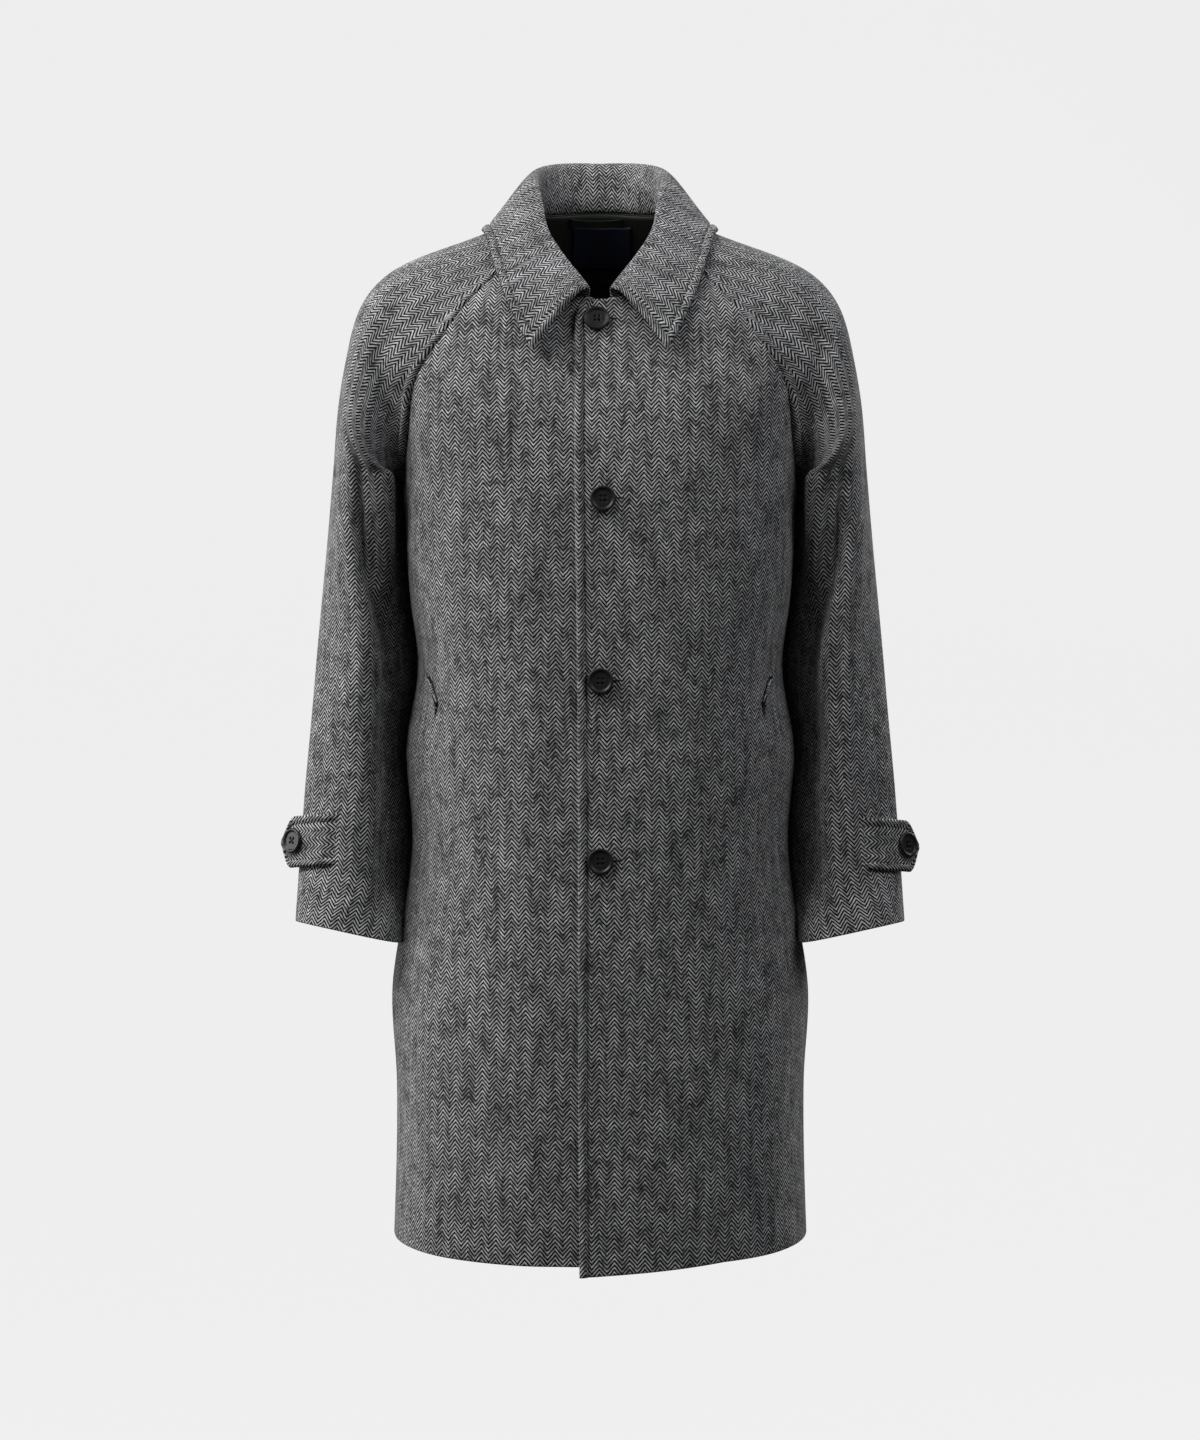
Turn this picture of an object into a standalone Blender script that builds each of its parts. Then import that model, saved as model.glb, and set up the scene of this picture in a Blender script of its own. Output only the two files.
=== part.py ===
"""Balmacaan coat, held in its worn shape: every tweed piece is a hollow cloth wall."""

import math

import bmesh
import bpy
import numpy as np
from mathutils.bvhtree import BVHTree

# Metres, +Z up. The coat faces -Y and the wearer's left is +X.
# The origin is where the wearer's shoulders carry the coat, at the base of the neck.
WALL = 0.0025
COLLAR_WALL = 0.0030
SEAM_GAP = 0.0003
LAY_GAP = 0.0004

# Centre front: the left front laps over the right one, which sinks under it.
LAP_SINK = 0.0034
LAP_SINK_FULL = 0.032
LAP_SINK_END = 0.075
UNDERLAP = 0.030
HEM_DROP = 0.0105
HEM_DROP_WIDTH = 0.150
HEM_DROP_HEIGHT = 0.20

HEM_FRONT = -1.035
HEM_SIDE = -1.028
HEM_BACK = -1.034
UNDERARM_FRONT = -0.290
UNDERARM_BACK = -0.285
UNDERARM_HEIGHT = -0.270
CUFF_LIFT = 0.004
CUFF_LIFT_LEVEL = 0.12

BUTTON_RADIUS = 0.0127
BUTTON_THICK = 0.0042
BUTTON_RIM = 0.0030
BUTTON_DISH = 0.0013
BUTTON_EDGE = 0.0009
BUTTON_SIDE_LOW = 0.30
BUTTON_SIDE_HIGH = 0.65
BUTTON_SIDES = 20
BUTTON_GAP = 0.0006

LINING_WALL = 0.0010
LABEL_WALL = 0.0008

TWEED = (0.115, 0.115, 0.118, 1.0)
LINING_COLOUR = (0.012, 0.014, 0.012, 1.0)
LABEL_COLOUR = (0.010, 0.012, 0.035, 1.0)
BUTTON_COLOUR = (0.020, 0.021, 0.020, 1.0)


def chart(columns, rows):
    """A short chart of sizes as one array per named column."""
    return dict(zip(columns, np.array(rows, dtype=float).T))


# The middle line of the front and of the back: depth and fullness at each height.
FRONT_LINE = chart(
    ("height", "depth", "pull"),
    (
        (-1.045, 0.1910, 0.152),
        (-0.900, 0.1820, 0.148),
        (-0.750, 0.1715, 0.145),
        (-0.600, 0.1620, 0.145),
        (-0.450, 0.1535, 0.148),
        (-0.330, 0.1480, 0.150),
        (-0.250, 0.1420, 0.150),
        (-0.200, 0.1340, 0.150),
        (-0.150, 0.1190, 0.150),
        (-0.120, 0.1085, 0.150),
        (-0.090, 0.0975, 0.150),
    ),
)
BACK_LINE = chart(
    ("height", "depth", "pull"),
    (
        (-1.045, 0.1740, 0.146),
        (-0.900, 0.1640, 0.142),
        (-0.750, 0.1530, 0.138),
        (-0.600, 0.1440, 0.137),
        (-0.450, 0.1385, 0.138),
        (-0.330, 0.1375, 0.140),
        (-0.230, 0.1380, 0.140),
        (-0.150, 0.1340, 0.140),
        (-0.080, 0.1220, 0.140),
        (-0.030, 0.1040, 0.140),
        (0.0265, 0.0690, 0.140),
    ),
)

# The side seam, hem to underarm, and how far front and back bow around it.
SIDE_SEAM = chart(
    ("height", "half_width", "seam_y", "front_pull", "back_pull"),
    (
        (-1.028, 0.2115, 0.000, 0.136, 0.124),
        (-0.880, 0.2092, 0.000, 0.120, 0.112),
        (-0.770, 0.2080, 0.000, 0.098, 0.100),
        (-0.700, 0.1964, 0.000, 0.080, 0.090),
        (-0.620, 0.1884, 0.000, 0.074, 0.084),
        (-0.535, 0.1945, 0.000, 0.078, 0.084),
        (-0.460, 0.1862, 0.001, 0.080, 0.084),
        (-0.390, 0.1932, 0.002, 0.092, 0.088),
        (-0.330, 0.1975, 0.003, 0.102, 0.094),
        (-0.270, 0.2030, 0.005, 0.112, 0.100),
    ),
)

# The raglan seams, underarm to neckline. Depth is measured away from the middle plane.
# Centre is the height where a row leaves the middle line, and centre_pull its fullness there.
# Facing turns from straight ahead (0) to sideways (90), rise tips the cloth to the sky,
# and climb is how steeply a row of the cloth crosses the seam.
RAGLAN_COLUMNS = (
    "share", "x", "depth", "height", "centre", "centre_pull", "body_facing", "sleeve_facing",
    "rise", "body_climb", "sleeve_climb", "body_pull", "sleeve_pull",
)
RAGLAN_FRONT = chart(
    RAGLAN_COLUMNS,
    (
        (0.00, 0.2030, -0.005, -0.270, -0.290, 0.150, 90, -90, 0, 0, 0, 0.112, 0.112),
        (0.16, 0.1985, 0.042, -0.250, -0.262, 0.125, 78, -60, 0, 0, 0, 0.075, 0.086),
        (0.30, 0.1920, 0.071, -0.214, -0.236, 0.112, 66, -25, 3, 0, 0, 0.060, 0.065),
        (0.43, 0.1850, 0.086, -0.172, -0.209, 0.104, 44, 6, 9, 0, 8, 0.054, 0.055),
        (0.55, 0.1650, 0.0905, -0.138, -0.185, 0.095, 29, 22, 17, 2, 24, 0.049, 0.048),
        (0.70, 0.1370, 0.084, -0.098, -0.156, 0.079, 25, 25, 27, 10, 38, 0.043, 0.040),
        (0.85, 0.1055, 0.068, -0.063, -0.125, 0.060, 24, 24, 36, 26, 48, 0.036, 0.031),
        (1.00, 0.0710, 0.047, -0.030, -0.092, 0.042, 22, 22, 45, 53, 53, 0.036, 0.019),
    ),
)
RAGLAN_BACK = chart(
    RAGLAN_COLUMNS,
    (
        (0.00, 0.2030, 0.005, -0.270, -0.285, 0.140, 90, -90, 0, 0, 0, 0.100, 0.110),
        (0.16, 0.1980, 0.048, -0.248, -0.252, 0.118, 76, -60, 0, 0, 0, 0.069, 0.084),
        (0.30, 0.1900, 0.077, -0.210, -0.217, 0.104, 60, -25, 3, 0, 0, 0.056, 0.064),
        (0.43, 0.1780, 0.096, -0.165, -0.180, 0.096, 40, 8, 10, 0, 8, 0.050, 0.055),
        (0.55, 0.1590, 0.104, -0.122, -0.140, 0.087, 28, 22, 18, 2, 22, 0.047, 0.048),
        (0.70, 0.1270, 0.101, -0.072, -0.085, 0.070, 24, 24, 30, 4, 30, 0.042, 0.040),
        (0.85, 0.0930, 0.082, -0.024, -0.029, 0.050, 22, 22, 42, 4, 34, 0.034, 0.029),
        (1.00, 0.0600, 0.050, 0.021, 0.0265, 0.026, 25, 25, 56, -4, 14, 0.024, 0.018),
    ),
)

# The sleeve below the underarm: its inner and outer lines, and how far it bulges.
SLEEVE = chart(
    ("level", "in_x", "in_y", "in_z", "out_x", "out_y", "out_z", "front", "crown", "back", "flank"),
    (
        (0.00, 0.1998, -0.054, -0.7345, 0.3074, -0.0520, -0.7130, 0.054, 0.044, 0.050, 4),
        (0.06, 0.1972, -0.026, -0.7050, 0.3061, -0.0475, -0.6850, 0.072, 0.038, 0.044, 5),
        (0.12, 0.1938, 0.004, -0.6750, 0.3048, -0.0430, -0.6570, 0.092, 0.033, 0.038, 6),
        (0.20, 0.1908, 0.020, -0.6360, 0.3025, -0.0385, -0.6195, 0.108, 0.029, 0.035, 6),
        (0.28, 0.1912, 0.028, -0.5970, 0.3002, -0.0340, -0.5820, 0.116, 0.027, 0.035, 5),
        (0.44, 0.1960, 0.034, -0.5200, 0.2943, -0.0250, -0.5070, 0.122, 0.027, 0.038, 5),
        (0.52, 0.1904, 0.034, -0.4795, 0.2914, -0.0206, -0.4675, 0.124, 0.029, 0.042, 6),
        (0.61, 0.1886, 0.034, -0.4410, 0.2884, -0.0160, -0.4275, 0.124, 0.033, 0.048, 6),
        (0.70, 0.1936, 0.032, -0.3997, 0.2849, -0.0120, -0.3858, 0.120, 0.040, 0.056, 5),
        (0.785, 0.1971, 0.026, -0.3600, 0.2814, -0.0080, -0.3457, 0.110, 0.052, 0.064, 4),
        (1.00, 0.2030, 0.005, -0.2700, 0.2727, 0.0000, -0.2450, 0.085, 0.085, 0.083, 0),
    ),
)
# Pull that makes a cubic curve near to a quarter circle of radius 1, over the full half turn.
ROUND = 4.0 / 3.0

# The overarm and shoulder line, underarm level to neckline.
OVERARM = chart(
    ("share", "x", "y", "z", "front_pull", "back_pull"),
    (
        (0.00, 0.2727, 0.000, -0.245, 0.113, 0.110),
        (0.16, 0.2670, 0.000, -0.185, 0.101, 0.100),
        (0.30, 0.2573, 0.000, -0.130, 0.088, 0.090),
        (0.43, 0.2445, 0.000, -0.085, 0.077, 0.080),
        (0.55, 0.2190, 0.000, -0.0533, 0.066, 0.070),
        (0.70, 0.1720, 0.001, -0.0295, 0.052, 0.056),
        (0.85, 0.1230, 0.003, -0.0110, 0.037, 0.040),
        (1.00, 0.0790, 0.004, 0.0100, 0.019, 0.019),
    ),
)

# How far each front reaches past the centre line, by height. The top corner is round.
EDGE = chart(
    ("height", "reach"),
    (
        (-1.045, 0.0197),
        (-0.850, 0.0212),
        (-0.550, 0.0218),
        (-0.350, 0.0240),
        (-0.200, 0.0250),
        (-0.135, 0.0250),
        (-0.115, 0.0245),
        (-0.104, 0.0215),
        (-0.096, 0.0165),
        (-0.0905, 0.0115),
    ),
)

# The largest folds of each sleeve front: a trough's way down, its width and depth.
SLEEVE_FOLDS = (
    chart(
        ("reach", "across", "width", "depth"),
        (
            (0.30, 0.16, 0.12, 0.000),
            (0.50, 0.16, 0.12, 0.000),
            (0.58, 0.20, 0.13, 0.005),
            (0.66, 0.26, 0.13, 0.010),
            (0.72, 0.32, 0.12, 0.015),
            (0.78, 0.39, 0.11, 0.017),
            (0.84, 0.445, 0.10, 0.015),
            (0.90, 0.470, 0.09, 0.011),
            (0.96, 0.500, 0.085, 0.008),
            (1.02, 0.510, 0.085, 0.005),
            (1.08, 0.510, 0.085, 0.002),
            (1.14, 0.510, 0.085, 0.000),
            (1.30, 0.510, 0.085, 0.000),
        ),
    ),
    chart(
        ("reach", "across", "width", "depth"),
        (
            (1.00, 0.05, 0.10, 0.000),
            (1.10, 0.05, 0.10, 0.001),
            (1.22, 0.06, 0.10, 0.005),
            (1.30, 0.09, 0.10, 0.008),
            (1.38, 0.17, 0.10, 0.009),
            (1.44, 0.31, 0.10, 0.006),
            (1.50, 0.42, 0.10, 0.003),
            (1.56, 0.47, 0.10, 0.000),
            (1.80, 0.50, 0.10, 0.000),
        ),
    ),
)

# A shallow dent in each front, where the cloth sinks above the pocket.
FRONT_FOLDS = (
    chart(
        ("reach", "across", "width", "depth"),
        (
            (0.55, 0.82, 0.16, 0.000),
            (0.64, 0.82, 0.16, 0.000),
            (0.71, 0.82, 0.16, 0.003),
            (0.78, 0.83, 0.16, 0.005),
            (0.85, 0.84, 0.16, 0.003),
            (0.92, 0.86, 0.16, 0.000),
            (1.05, 0.86, 0.16, 0.000),
        ),
    ),
)

# The collar by its share of the way from centre back to the front end:
# the roll line, the outer edge of the leaf and how wide the roll is.
COLLAR = chart(
    ("share", "roll_x", "roll_y", "roll_z", "edge_x", "edge_y", "edge_z", "roll"),
    (
        (0.00, 0.0000, 0.0800, 0.0800, 0.0000, 0.1120, 0.0060, 0.0120),
        (0.14, 0.0400, 0.0750, 0.0790, 0.0450, 0.1080, 0.0060, 0.0150),
        (0.24, 0.0620, 0.0560, 0.0715, 0.0860, 0.0880, 0.0050, 0.0180),
        (0.33, 0.0700, 0.0320, 0.0595, 0.1100, 0.0520, 0.0000, 0.0180),
        (0.42, 0.0680, 0.0100, 0.0430, 0.1205, 0.0120, -0.0050, 0.0160),
        (0.52, 0.0620, -0.0120, 0.0205, 0.1165, -0.0200, -0.0180, 0.0130),
        (0.62, 0.0555, -0.0360, -0.0070, 0.1100, -0.0500, -0.0400, 0.0090),
        (0.72, 0.0450, -0.0590, -0.0300, 0.1030, -0.0730, -0.0640, 0.0080),
        (0.82, 0.0310, -0.0800, -0.0520, 0.0940, -0.0950, -0.0900, 0.0070),
        (0.91, 0.0190, -0.0960, -0.0690, 0.0800, -0.1150, -0.1220, 0.0065),
        (1.00, 0.0115, -0.1050, -0.0810, 0.0655, -0.1270, -0.1480, 0.0060),
    ),
)
COLLAR_END = 0.0115
COLLAR_SEAM_GAP = 0.0008
COLLAR_STAND_SHARES = np.array((0.0, 0.35, 0.65, 0.86, 0.95))
COLLAR_LEAF_SHARES = np.array((0.0, 0.06, 0.16, 0.35, 0.58, 0.80, 1.0))
LEAF_HOLD = 0.30
LEAF_SPRING = 0.006
LEAF_GAP = 0.0012
LEAF_SOFT = 0.0025
LEAF_LIFT_FROM = 0.10
LEAF_LIFT_FULL = 0.45
LEAF_LIES_ON = 1.55
STAND_PULL = 0.3
STAND_REACH = 0.5

# The cuff tab, on the front of the sleeve: where it is sewn on and how it leaves the sleeve.
TAB_ROOT = 0.58
TAB_LEAVE = 0.80
TAB_LEVEL_LEFT = 0.184
TAB_LEVEL_RIGHT = 0.193
TAB_TILT = -0.065
TAB_HALF_WIDTH = 0.055
TAB_FREE = 0.0415
TAB_POINT = 0.018
TAB_LIFT = 0.0015
TAB_WALL = 0.0030
TAB_BLUNT = 0.004
TAB_CURL = 2.0
TAB_BUTTON_COLUMN = 1
TAB_COLUMNS = 8
TAB_ACROSS = np.array((-1.0, -0.8, -0.4, 0.0, 0.4, 0.8, 1.0))
TAB_FREE_SHARES = np.array((0.22, 0.44, 0.61, 0.74, 0.87, 1.0))

# The pocket welt: its top inner corner, the way along it and the way across its slanted end.
WELT_ACROSS = 0.161
WELT_TOP = -0.492
WELT_LENGTH = 0.165
WELT_SLANT = math.radians(14.0)
WELT_END_ACROSS = 0.020
WELT_END_RISE = 0.026
WELT_WALL = 0.0028
WELT_GAP = 0.0010
WELT_LEVELS = (0.3, 0.8)
WELT_COLUMNS = 19
WELT_ROWS = 5

# Buttons down the front: across the centre line, and height.
FRONT_BUTTONS = ((-0.0030, -0.1135), (0.0029, -0.2945), (0.0005, -0.4725), (0.0005, -0.6470))
FRONT_TOP = -0.090
FRONT_HALF_GIRTH = 0.4

# The lining where it shows inside the neck, and what is sewn on it.
LINING_LOW = 1.45
LINING_HIGH = 1.997
LINING_SIDE = 0.96
PATCH_LEVEL = 1.88
PATCH_HALF_GIRTH = 0.09
PATCH_ROWS = 4
LABEL_WIDTH = 0.064
LABEL_TOP = 0.0132
LABEL_LOW = -0.0275
SIZE_TAB_WIDTH = 0.012
SIZE_TAB_TOP = -0.0290
SIZE_TAB_LOW = -0.0430
SIZE_TAB_CENTRE = 0.0040
LOOP_WIDTH = 0.058
LOOP_TOP = 0.0212
LOOP_LOW = 0.0142
LOOP_CENTRE = -0.0045
LOOP_SLACK = 0.0030
LABEL_CENTRE = 0.0020

# How far below and above the underarm the body cloth is eased into one curve.
EASE_BELOW = 0.14
EASE_ABOVE = 0.22

BODY_BELOW = np.linspace(0.0, 1.0, 11)[:-1]
ABOVE = 1.0 + np.array(
    (0.0, 0.08, 0.16, 0.23, 0.30, 0.365, 0.43, 0.49, 0.55, 0.63, 0.72, 0.81, 0.90, 1.0))
BODY_LEVELS = np.concatenate((BODY_BELOW, ABOVE))
SLEEVE_BELOW = np.array((0.0, 0.10, 0.20, 0.30, 0.40, 0.49, 0.57, 0.64, 0.70, 0.76, 0.82, 0.88, 0.94))
SLEEVE_LEVELS = np.concatenate((SLEEVE_BELOW, ABOVE))
QUARTER_COLUMNS = 11
SLEEVE_FRONT_COLUMNS = 16
SLEEVE_BACK_COLUMNS = 9
COLLAR_ROWS = 37
NECK_STEPS = 31
TOP = 2.0
STEP = 0.004
RAY_START = 0.010
NEWTON_STEPS = 12
FAR_SHARE = 0.9
FINE_STEPS = 201
UPWARD = np.array((0.0, 0.0, 1.0))

# Places inside the coat that its cloth faces away from.
DEEP_INSIDE = np.array((0.0, 0.0, -0.50))
CHEST_INSIDE = np.array((0.0, 0.0, -0.25))
NECK_INSIDE = np.array((0.0, -0.01, -0.15))


def smooth(table, key, column, at):
    """Natural cubic spline through one column of a chart, read at the given keys."""
    knots = table[key]
    values = table[column]
    gaps = np.diff(knots)
    slopes = np.diff(values) / gaps
    count = len(knots)
    system = np.eye(count)
    right = np.zeros(count)
    for row in range(1, count - 1):
        system[row, row - 1:row + 2] = gaps[row - 1], 2 * (gaps[row - 1] + gaps[row]), gaps[row]
        right[row] = 6 * (slopes[row] - slopes[row - 1])
    bend = np.linalg.solve(system, right)
    at = np.clip(np.asarray(at, dtype=float), knots[0], knots[-1])
    cell = np.clip(np.searchsorted(knots, at) - 1, 0, count - 2)
    before = at - knots[cell]
    after = knots[cell + 1] - at
    gap = gaps[cell]
    curve = (bend[cell] * after ** 3 + bend[cell + 1] * before ** 3) / (6 * gap)
    line = (values[cell] / gap - bend[cell] * gap / 6) * after
    return curve + line + (values[cell + 1] / gap - bend[cell + 1] * gap / 6) * before


def ease(low, high, at):
    """0 at low, 1 at high, with a soft S between them."""
    share = np.clip((at - low) / (high - low), 0.0, 1.0)
    return share * share * (3.0 - 2.0 * share)


def points(x, y, z):
    """Three coordinate arrays as one array of points."""
    return np.stack(np.broadcast_arrays(x, y, z), axis=-1).astype(float)


def unit(vectors):
    """Vectors scaled to length one."""
    return vectors / np.linalg.norm(vectors, axis=-1, keepdims=True)


def bezier(start, start_pull, end_pull, end, share):
    """Cubic curve from start to end, whose two middle points are start and end plus pulls."""
    share = share[..., None]
    rest = 1.0 - share
    first = start + start_pull
    second = end + end_pull
    near = rest ** 3 * start + 3 * rest ** 2 * share * first
    return near + 3 * rest * share ** 2 * second + share ** 3 * end


def facing_normal(facing, rise):
    """Direction that the cloth faces, as across, away from the middle plane, and up."""
    facing, rise = np.radians(facing), np.radians(rise)
    return points(np.sin(facing) * np.cos(rise), np.cos(facing) * np.cos(rise), np.sin(rise))


def crossing(facing, rise, climb):
    """Direction of a row as it crosses a seam, from the way the cloth faces there."""
    facing, rise, climb = np.radians(facing), np.radians(rise), np.radians(climb)
    level = points(np.cos(facing), -np.sin(facing), 0.0)
    upward = points(-np.sin(facing) * np.sin(rise), -np.cos(facing) * np.sin(rise), np.cos(rise))
    return np.cos(climb)[..., None] * level + np.sin(climb)[..., None] * upward


def split_level(level):
    """A level as its part below the underarm, its part above, and whether it is above."""
    level = np.asarray(level, dtype=float)
    return np.clip(level, 0.0, 1.0), np.clip(level - 1.0, 0.0, 1.0), level > 1.0


def placed(quarter, side, sign):
    """Turn depth into y, and mirror to the wearer's left (side 1) or right (side -1)."""
    return quarter * np.array((side, sign, 1.0))


def fold_depth(folds, level, share):
    """Sum of troughs in the cloth: each is a bell across the way that its chart gives."""
    total = np.zeros(np.broadcast(level, share).shape)
    for fold in folds:
        way = smooth(fold, "reach", "across", level)
        width = smooth(fold, "reach", "width", level)
        depth = np.maximum(smooth(fold, "reach", "depth", level), 0.0)
        total += depth * np.exp(-((share - way) / width) ** 2)
    return total * ease(0.0, 0.08, np.abs(share)) * ease(1.0, 0.92, np.abs(share))


def plain_quarter(sign, level, share):
    """Quarter of the body, from its middle line (share 0) to the side and raglan seam (share 1).

    Level runs from the hem (0) to the underarm (1) and the neckline (2). Each row is a cubic
    curve between the two lines. Depth is positive away from the middle plane.
    """
    low, high, above = split_level(level)
    raglan, line = (RAGLAN_FRONT, FRONT_LINE) if sign < 0 else (RAGLAN_BACK, BACK_LINE)
    hem, underarm = (HEM_FRONT, UNDERARM_FRONT) if sign < 0 else (HEM_BACK, UNDERARM_BACK)
    bow = "front_pull" if sign < 0 else "back_pull"
    side = HEM_SIDE + (UNDERARM_HEIGHT - HEM_SIDE) * low

    def seam(below, column):
        return np.where(above, smooth(raglan, "share", column, high), below)

    middle = seam(hem + (underarm - hem) * low, "centre")
    start = points(0.0, smooth(line, "height", "depth", middle), middle)
    start_pull = points(seam(smooth(line, "height", "pull", middle), "centre_pull"), 0.0, 0.0)
    end = points(
        seam(smooth(SIDE_SEAM, "height", "half_width", side), "x"),
        seam(sign * smooth(SIDE_SEAM, "height", "seam_y", side), "depth"),
        seam(side, "height"),
    )
    towards = crossing(seam(90.0, "body_facing"), seam(0.0, "rise"), seam(0.0, "body_climb"))
    reach = seam(smooth(SIDE_SEAM, "height", bow, side), "body_pull")
    return bezier(start, start_pull, -towards * reach[..., None], end, share)


def body_quarter(sign, level, share):
    """The plain quarter, with the cloth near the underarm eased into one curve up the body.

    The ease is a cubic that leaves and meets the plain quarter along its own way. It fades out
    towards the seam, which keeps its corner under the arm.
    """
    level, share = np.broadcast_arrays(np.asarray(level, float), np.asarray(share, float))
    plain = plain_quarter(sign, level, share)
    low, high = 1.0 - EASE_BELOW, 1.0 + EASE_ABOVE
    span = high - low
    start = plain_quarter(sign, low + 0.0 * level, share)
    before = plain_quarter(sign, low - STEP + 0.0 * level, share)
    end = plain_quarter(sign, high + 0.0 * level, share)
    after = plain_quarter(sign, high + STEP + 0.0 * level, share)
    way = np.clip((level - low) / span, 0.0, 1.0)
    pull = span / STEP / 3.0
    eased = bezier(start, (start - before) * pull, (end - after) * pull, end, way)
    keep = ease(1.0, 0.72, share) * ((level > low) & (level < high))
    return plain + (eased - plain) * keep[..., None]


def overarm(sign, level):
    """The line down the outside of the arm, which both halves of a sleeve share."""
    low, high, above = split_level(level)
    return points(
        np.where(above, smooth(OVERARM, "share", "x", high), smooth(SLEEVE, "level", "out_x", low)),
        sign * np.where(above, smooth(OVERARM, "share", "y", high),
                        smooth(SLEEVE, "level", "out_y", low)),
        np.where(above, smooth(OVERARM, "share", "z", high), smooth(SLEEVE, "level", "out_z", low)),
    )


def sleeve_half(sign, level, share):
    """Half a sleeve, from the underarm or raglan seam (share 0) to the overarm line (share 1).

    Level runs from the cuff (0) to the underarm (1) and the neckline (2). Each row is a cubic
    curve, near to half an ellipse. The front half leaves the underarm seam along a slanted
    flank, because the sleeve hangs flat against the body there.
    """
    low, high, above = split_level(level)
    raglan = RAGLAN_FRONT if sign < 0 else RAGLAN_BACK
    bulge, crown, pull = ("front", "crown", "front_pull") if sign < 0 else ("back", "back", "back_pull")

    def seam(below, column):
        return np.where(above, smooth(raglan, "share", column, high), below)

    start = points(
        seam(smooth(SLEEVE, "level", "in_x", low), "x"),
        seam(sign * smooth(SLEEVE, "level", "in_y", low), "depth"),
        seam(smooth(SLEEVE, "level", "in_z", low), "height"),
    )
    around = ROUND * smooth(SLEEVE, "level", bulge, low)
    flank = smooth(SLEEVE, "level", "flank", low) * (sign < 0)
    towards = crossing(seam(flank - 90.0, "sleeve_facing"), seam(0.0, "rise"), seam(0.0, "sleeve_climb"))
    start_pull = towards * seam(around, "sleeve_pull")[..., None]
    over = ROUND * smooth(SLEEVE, "level", crown, low)
    end_pull = points(0.0, np.where(above, smooth(OVERARM, "share", pull, high), over), 0.0)
    half = bezier(start, start_pull, end_pull, overarm(sign, level), share)
    half[..., 2] -= sign * CUFF_LIFT * np.sin(np.pi * share) * ease(CUFF_LIFT_LEVEL, 0.0, low)
    return half


def front_surface(side, level, share):
    """Front cloth at any share; below zero it has crossed the centre line."""
    quarter = body_quarter(-1.0, level, np.abs(share))
    quarter[..., 0] *= np.where(share < 0.0, -1.0, 1.0)
    quarter[..., 1] -= fold_depth(FRONT_FOLDS, level, share)
    quarter[..., 0] -= fold_depth(FRONT_FOLDS, level, share)
    if side > 0:
        across = (quarter[..., 0] + UNDERLAP) / HEM_DROP_WIDTH
        drop = HEM_DROP * np.clip(1.0 - across, 0.0, 1.0)
        quarter[..., 2] -= drop * ease(HEM_FRONT + HEM_DROP_HEIGHT, HEM_FRONT, quarter[..., 2])
    else:
        quarter[..., 1] -= LAP_SINK * ease(LAP_SINK_END, LAP_SINK_FULL, quarter[..., 0])
    return placed(quarter, side, -1.0)


def back_surface(level, share):
    """Back cloth, whose share runs from the right side (-1) to the left side (1)."""
    quarter = body_quarter(1.0, level, np.abs(share))
    quarter[..., 0] *= np.where(share < 0.0, -1.0, 1.0)
    return placed(quarter, 1.0, 1.0)


def sleeve_surface(side, sign, level, share):
    """Sleeve cloth of the front half (sign -1) or the back half (sign 1), without folds."""
    return placed(sleeve_half(sign, level, share), side, sign)


def surface_normals(surface, level, share):
    """Unit normals of a surface from small steps along it, turned away from its inside."""
    level, share = np.broadcast_arrays(np.asarray(level, float), np.asarray(share, float))
    top = np.minimum(level + STEP, TOP)
    low = np.maximum(level - STEP, 0.0)
    rise = surface(top, share) - surface(low, share)
    run = surface(level, share + STEP) - surface(level, share - STEP)
    return unit(np.cross(run, rise))


def grid_normals(grid):
    """Unit normals of a grid of points, from its steps along rows and columns."""
    return unit(np.cross(np.gradient(grid, axis=1), np.gradient(grid, axis=0)))


def turned_out(normal, grid, middle):
    """The normals, all turned away from the middle of the garment's tube."""
    return normal if np.mean(np.sum(normal * (grid - middle), axis=-1)) > 0 else -normal


def body_seam_normals(side, sign, level):
    """Normals of the body cloth along its side and raglan seam."""
    raglan = RAGLAN_FRONT if sign < 0 else RAGLAN_BACK
    high, above = split_level(level)[1:]
    facing = np.where(above, smooth(raglan, "share", "body_facing", high), 90.0)
    rise = np.where(above, smooth(raglan, "share", "rise", high), 0.0)
    return placed(facing_normal(facing, rise), side, sign)


def sleeve_seam_normals(side, sign, level):
    """Normals of the sleeve cloth along its underarm and raglan seam."""
    raglan = RAGLAN_FRONT if sign < 0 else RAGLAN_BACK
    low, high, above = split_level(level)
    lean = -0.5 * sign * smooth(SLEEVE, "level", "flank", low)
    facing = np.where(above, smooth(raglan, "share", "sleeve_facing", high), lean - 90.0)
    rise = np.where(above, smooth(raglan, "share", "rise", high), 0.0)
    return placed(facing_normal(facing, rise), side, sign)


def overarm_normals(side, level):
    """Normals along the overarm line, square to it in the plane of the two arms."""
    ahead = overarm(1.0, np.minimum(level + STEP, TOP))
    behind = overarm(1.0, np.maximum(level - STEP, 0.0))
    way = ahead - behind
    return placed(unit(points(way[..., 2], 0.0, -way[..., 0])), side, 1.0)


def draw_in(grid, outward, borders):
    """Draw chosen borders of a grid in by half a seam gap, and sink them as much."""
    grid = grid.copy()
    flipped = grid.transpose(1, 0, 2), outward.transpose(1, 0, 2)
    ways = {
        "bottom": (grid, outward, 0, 1), "top": (grid, outward, -1, -2),
        "first": (*flipped, 0, 1), "last": (*flipped, -1, -2),
    }
    for border in borders:
        cloth, face, edge, next_in = ways[border]
        cloth[edge] += unit(cloth[next_in] - cloth[edge]) * SEAM_GAP / 2
        cloth[edge] -= face[edge] * SEAM_GAP / 2
    return grid


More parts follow.
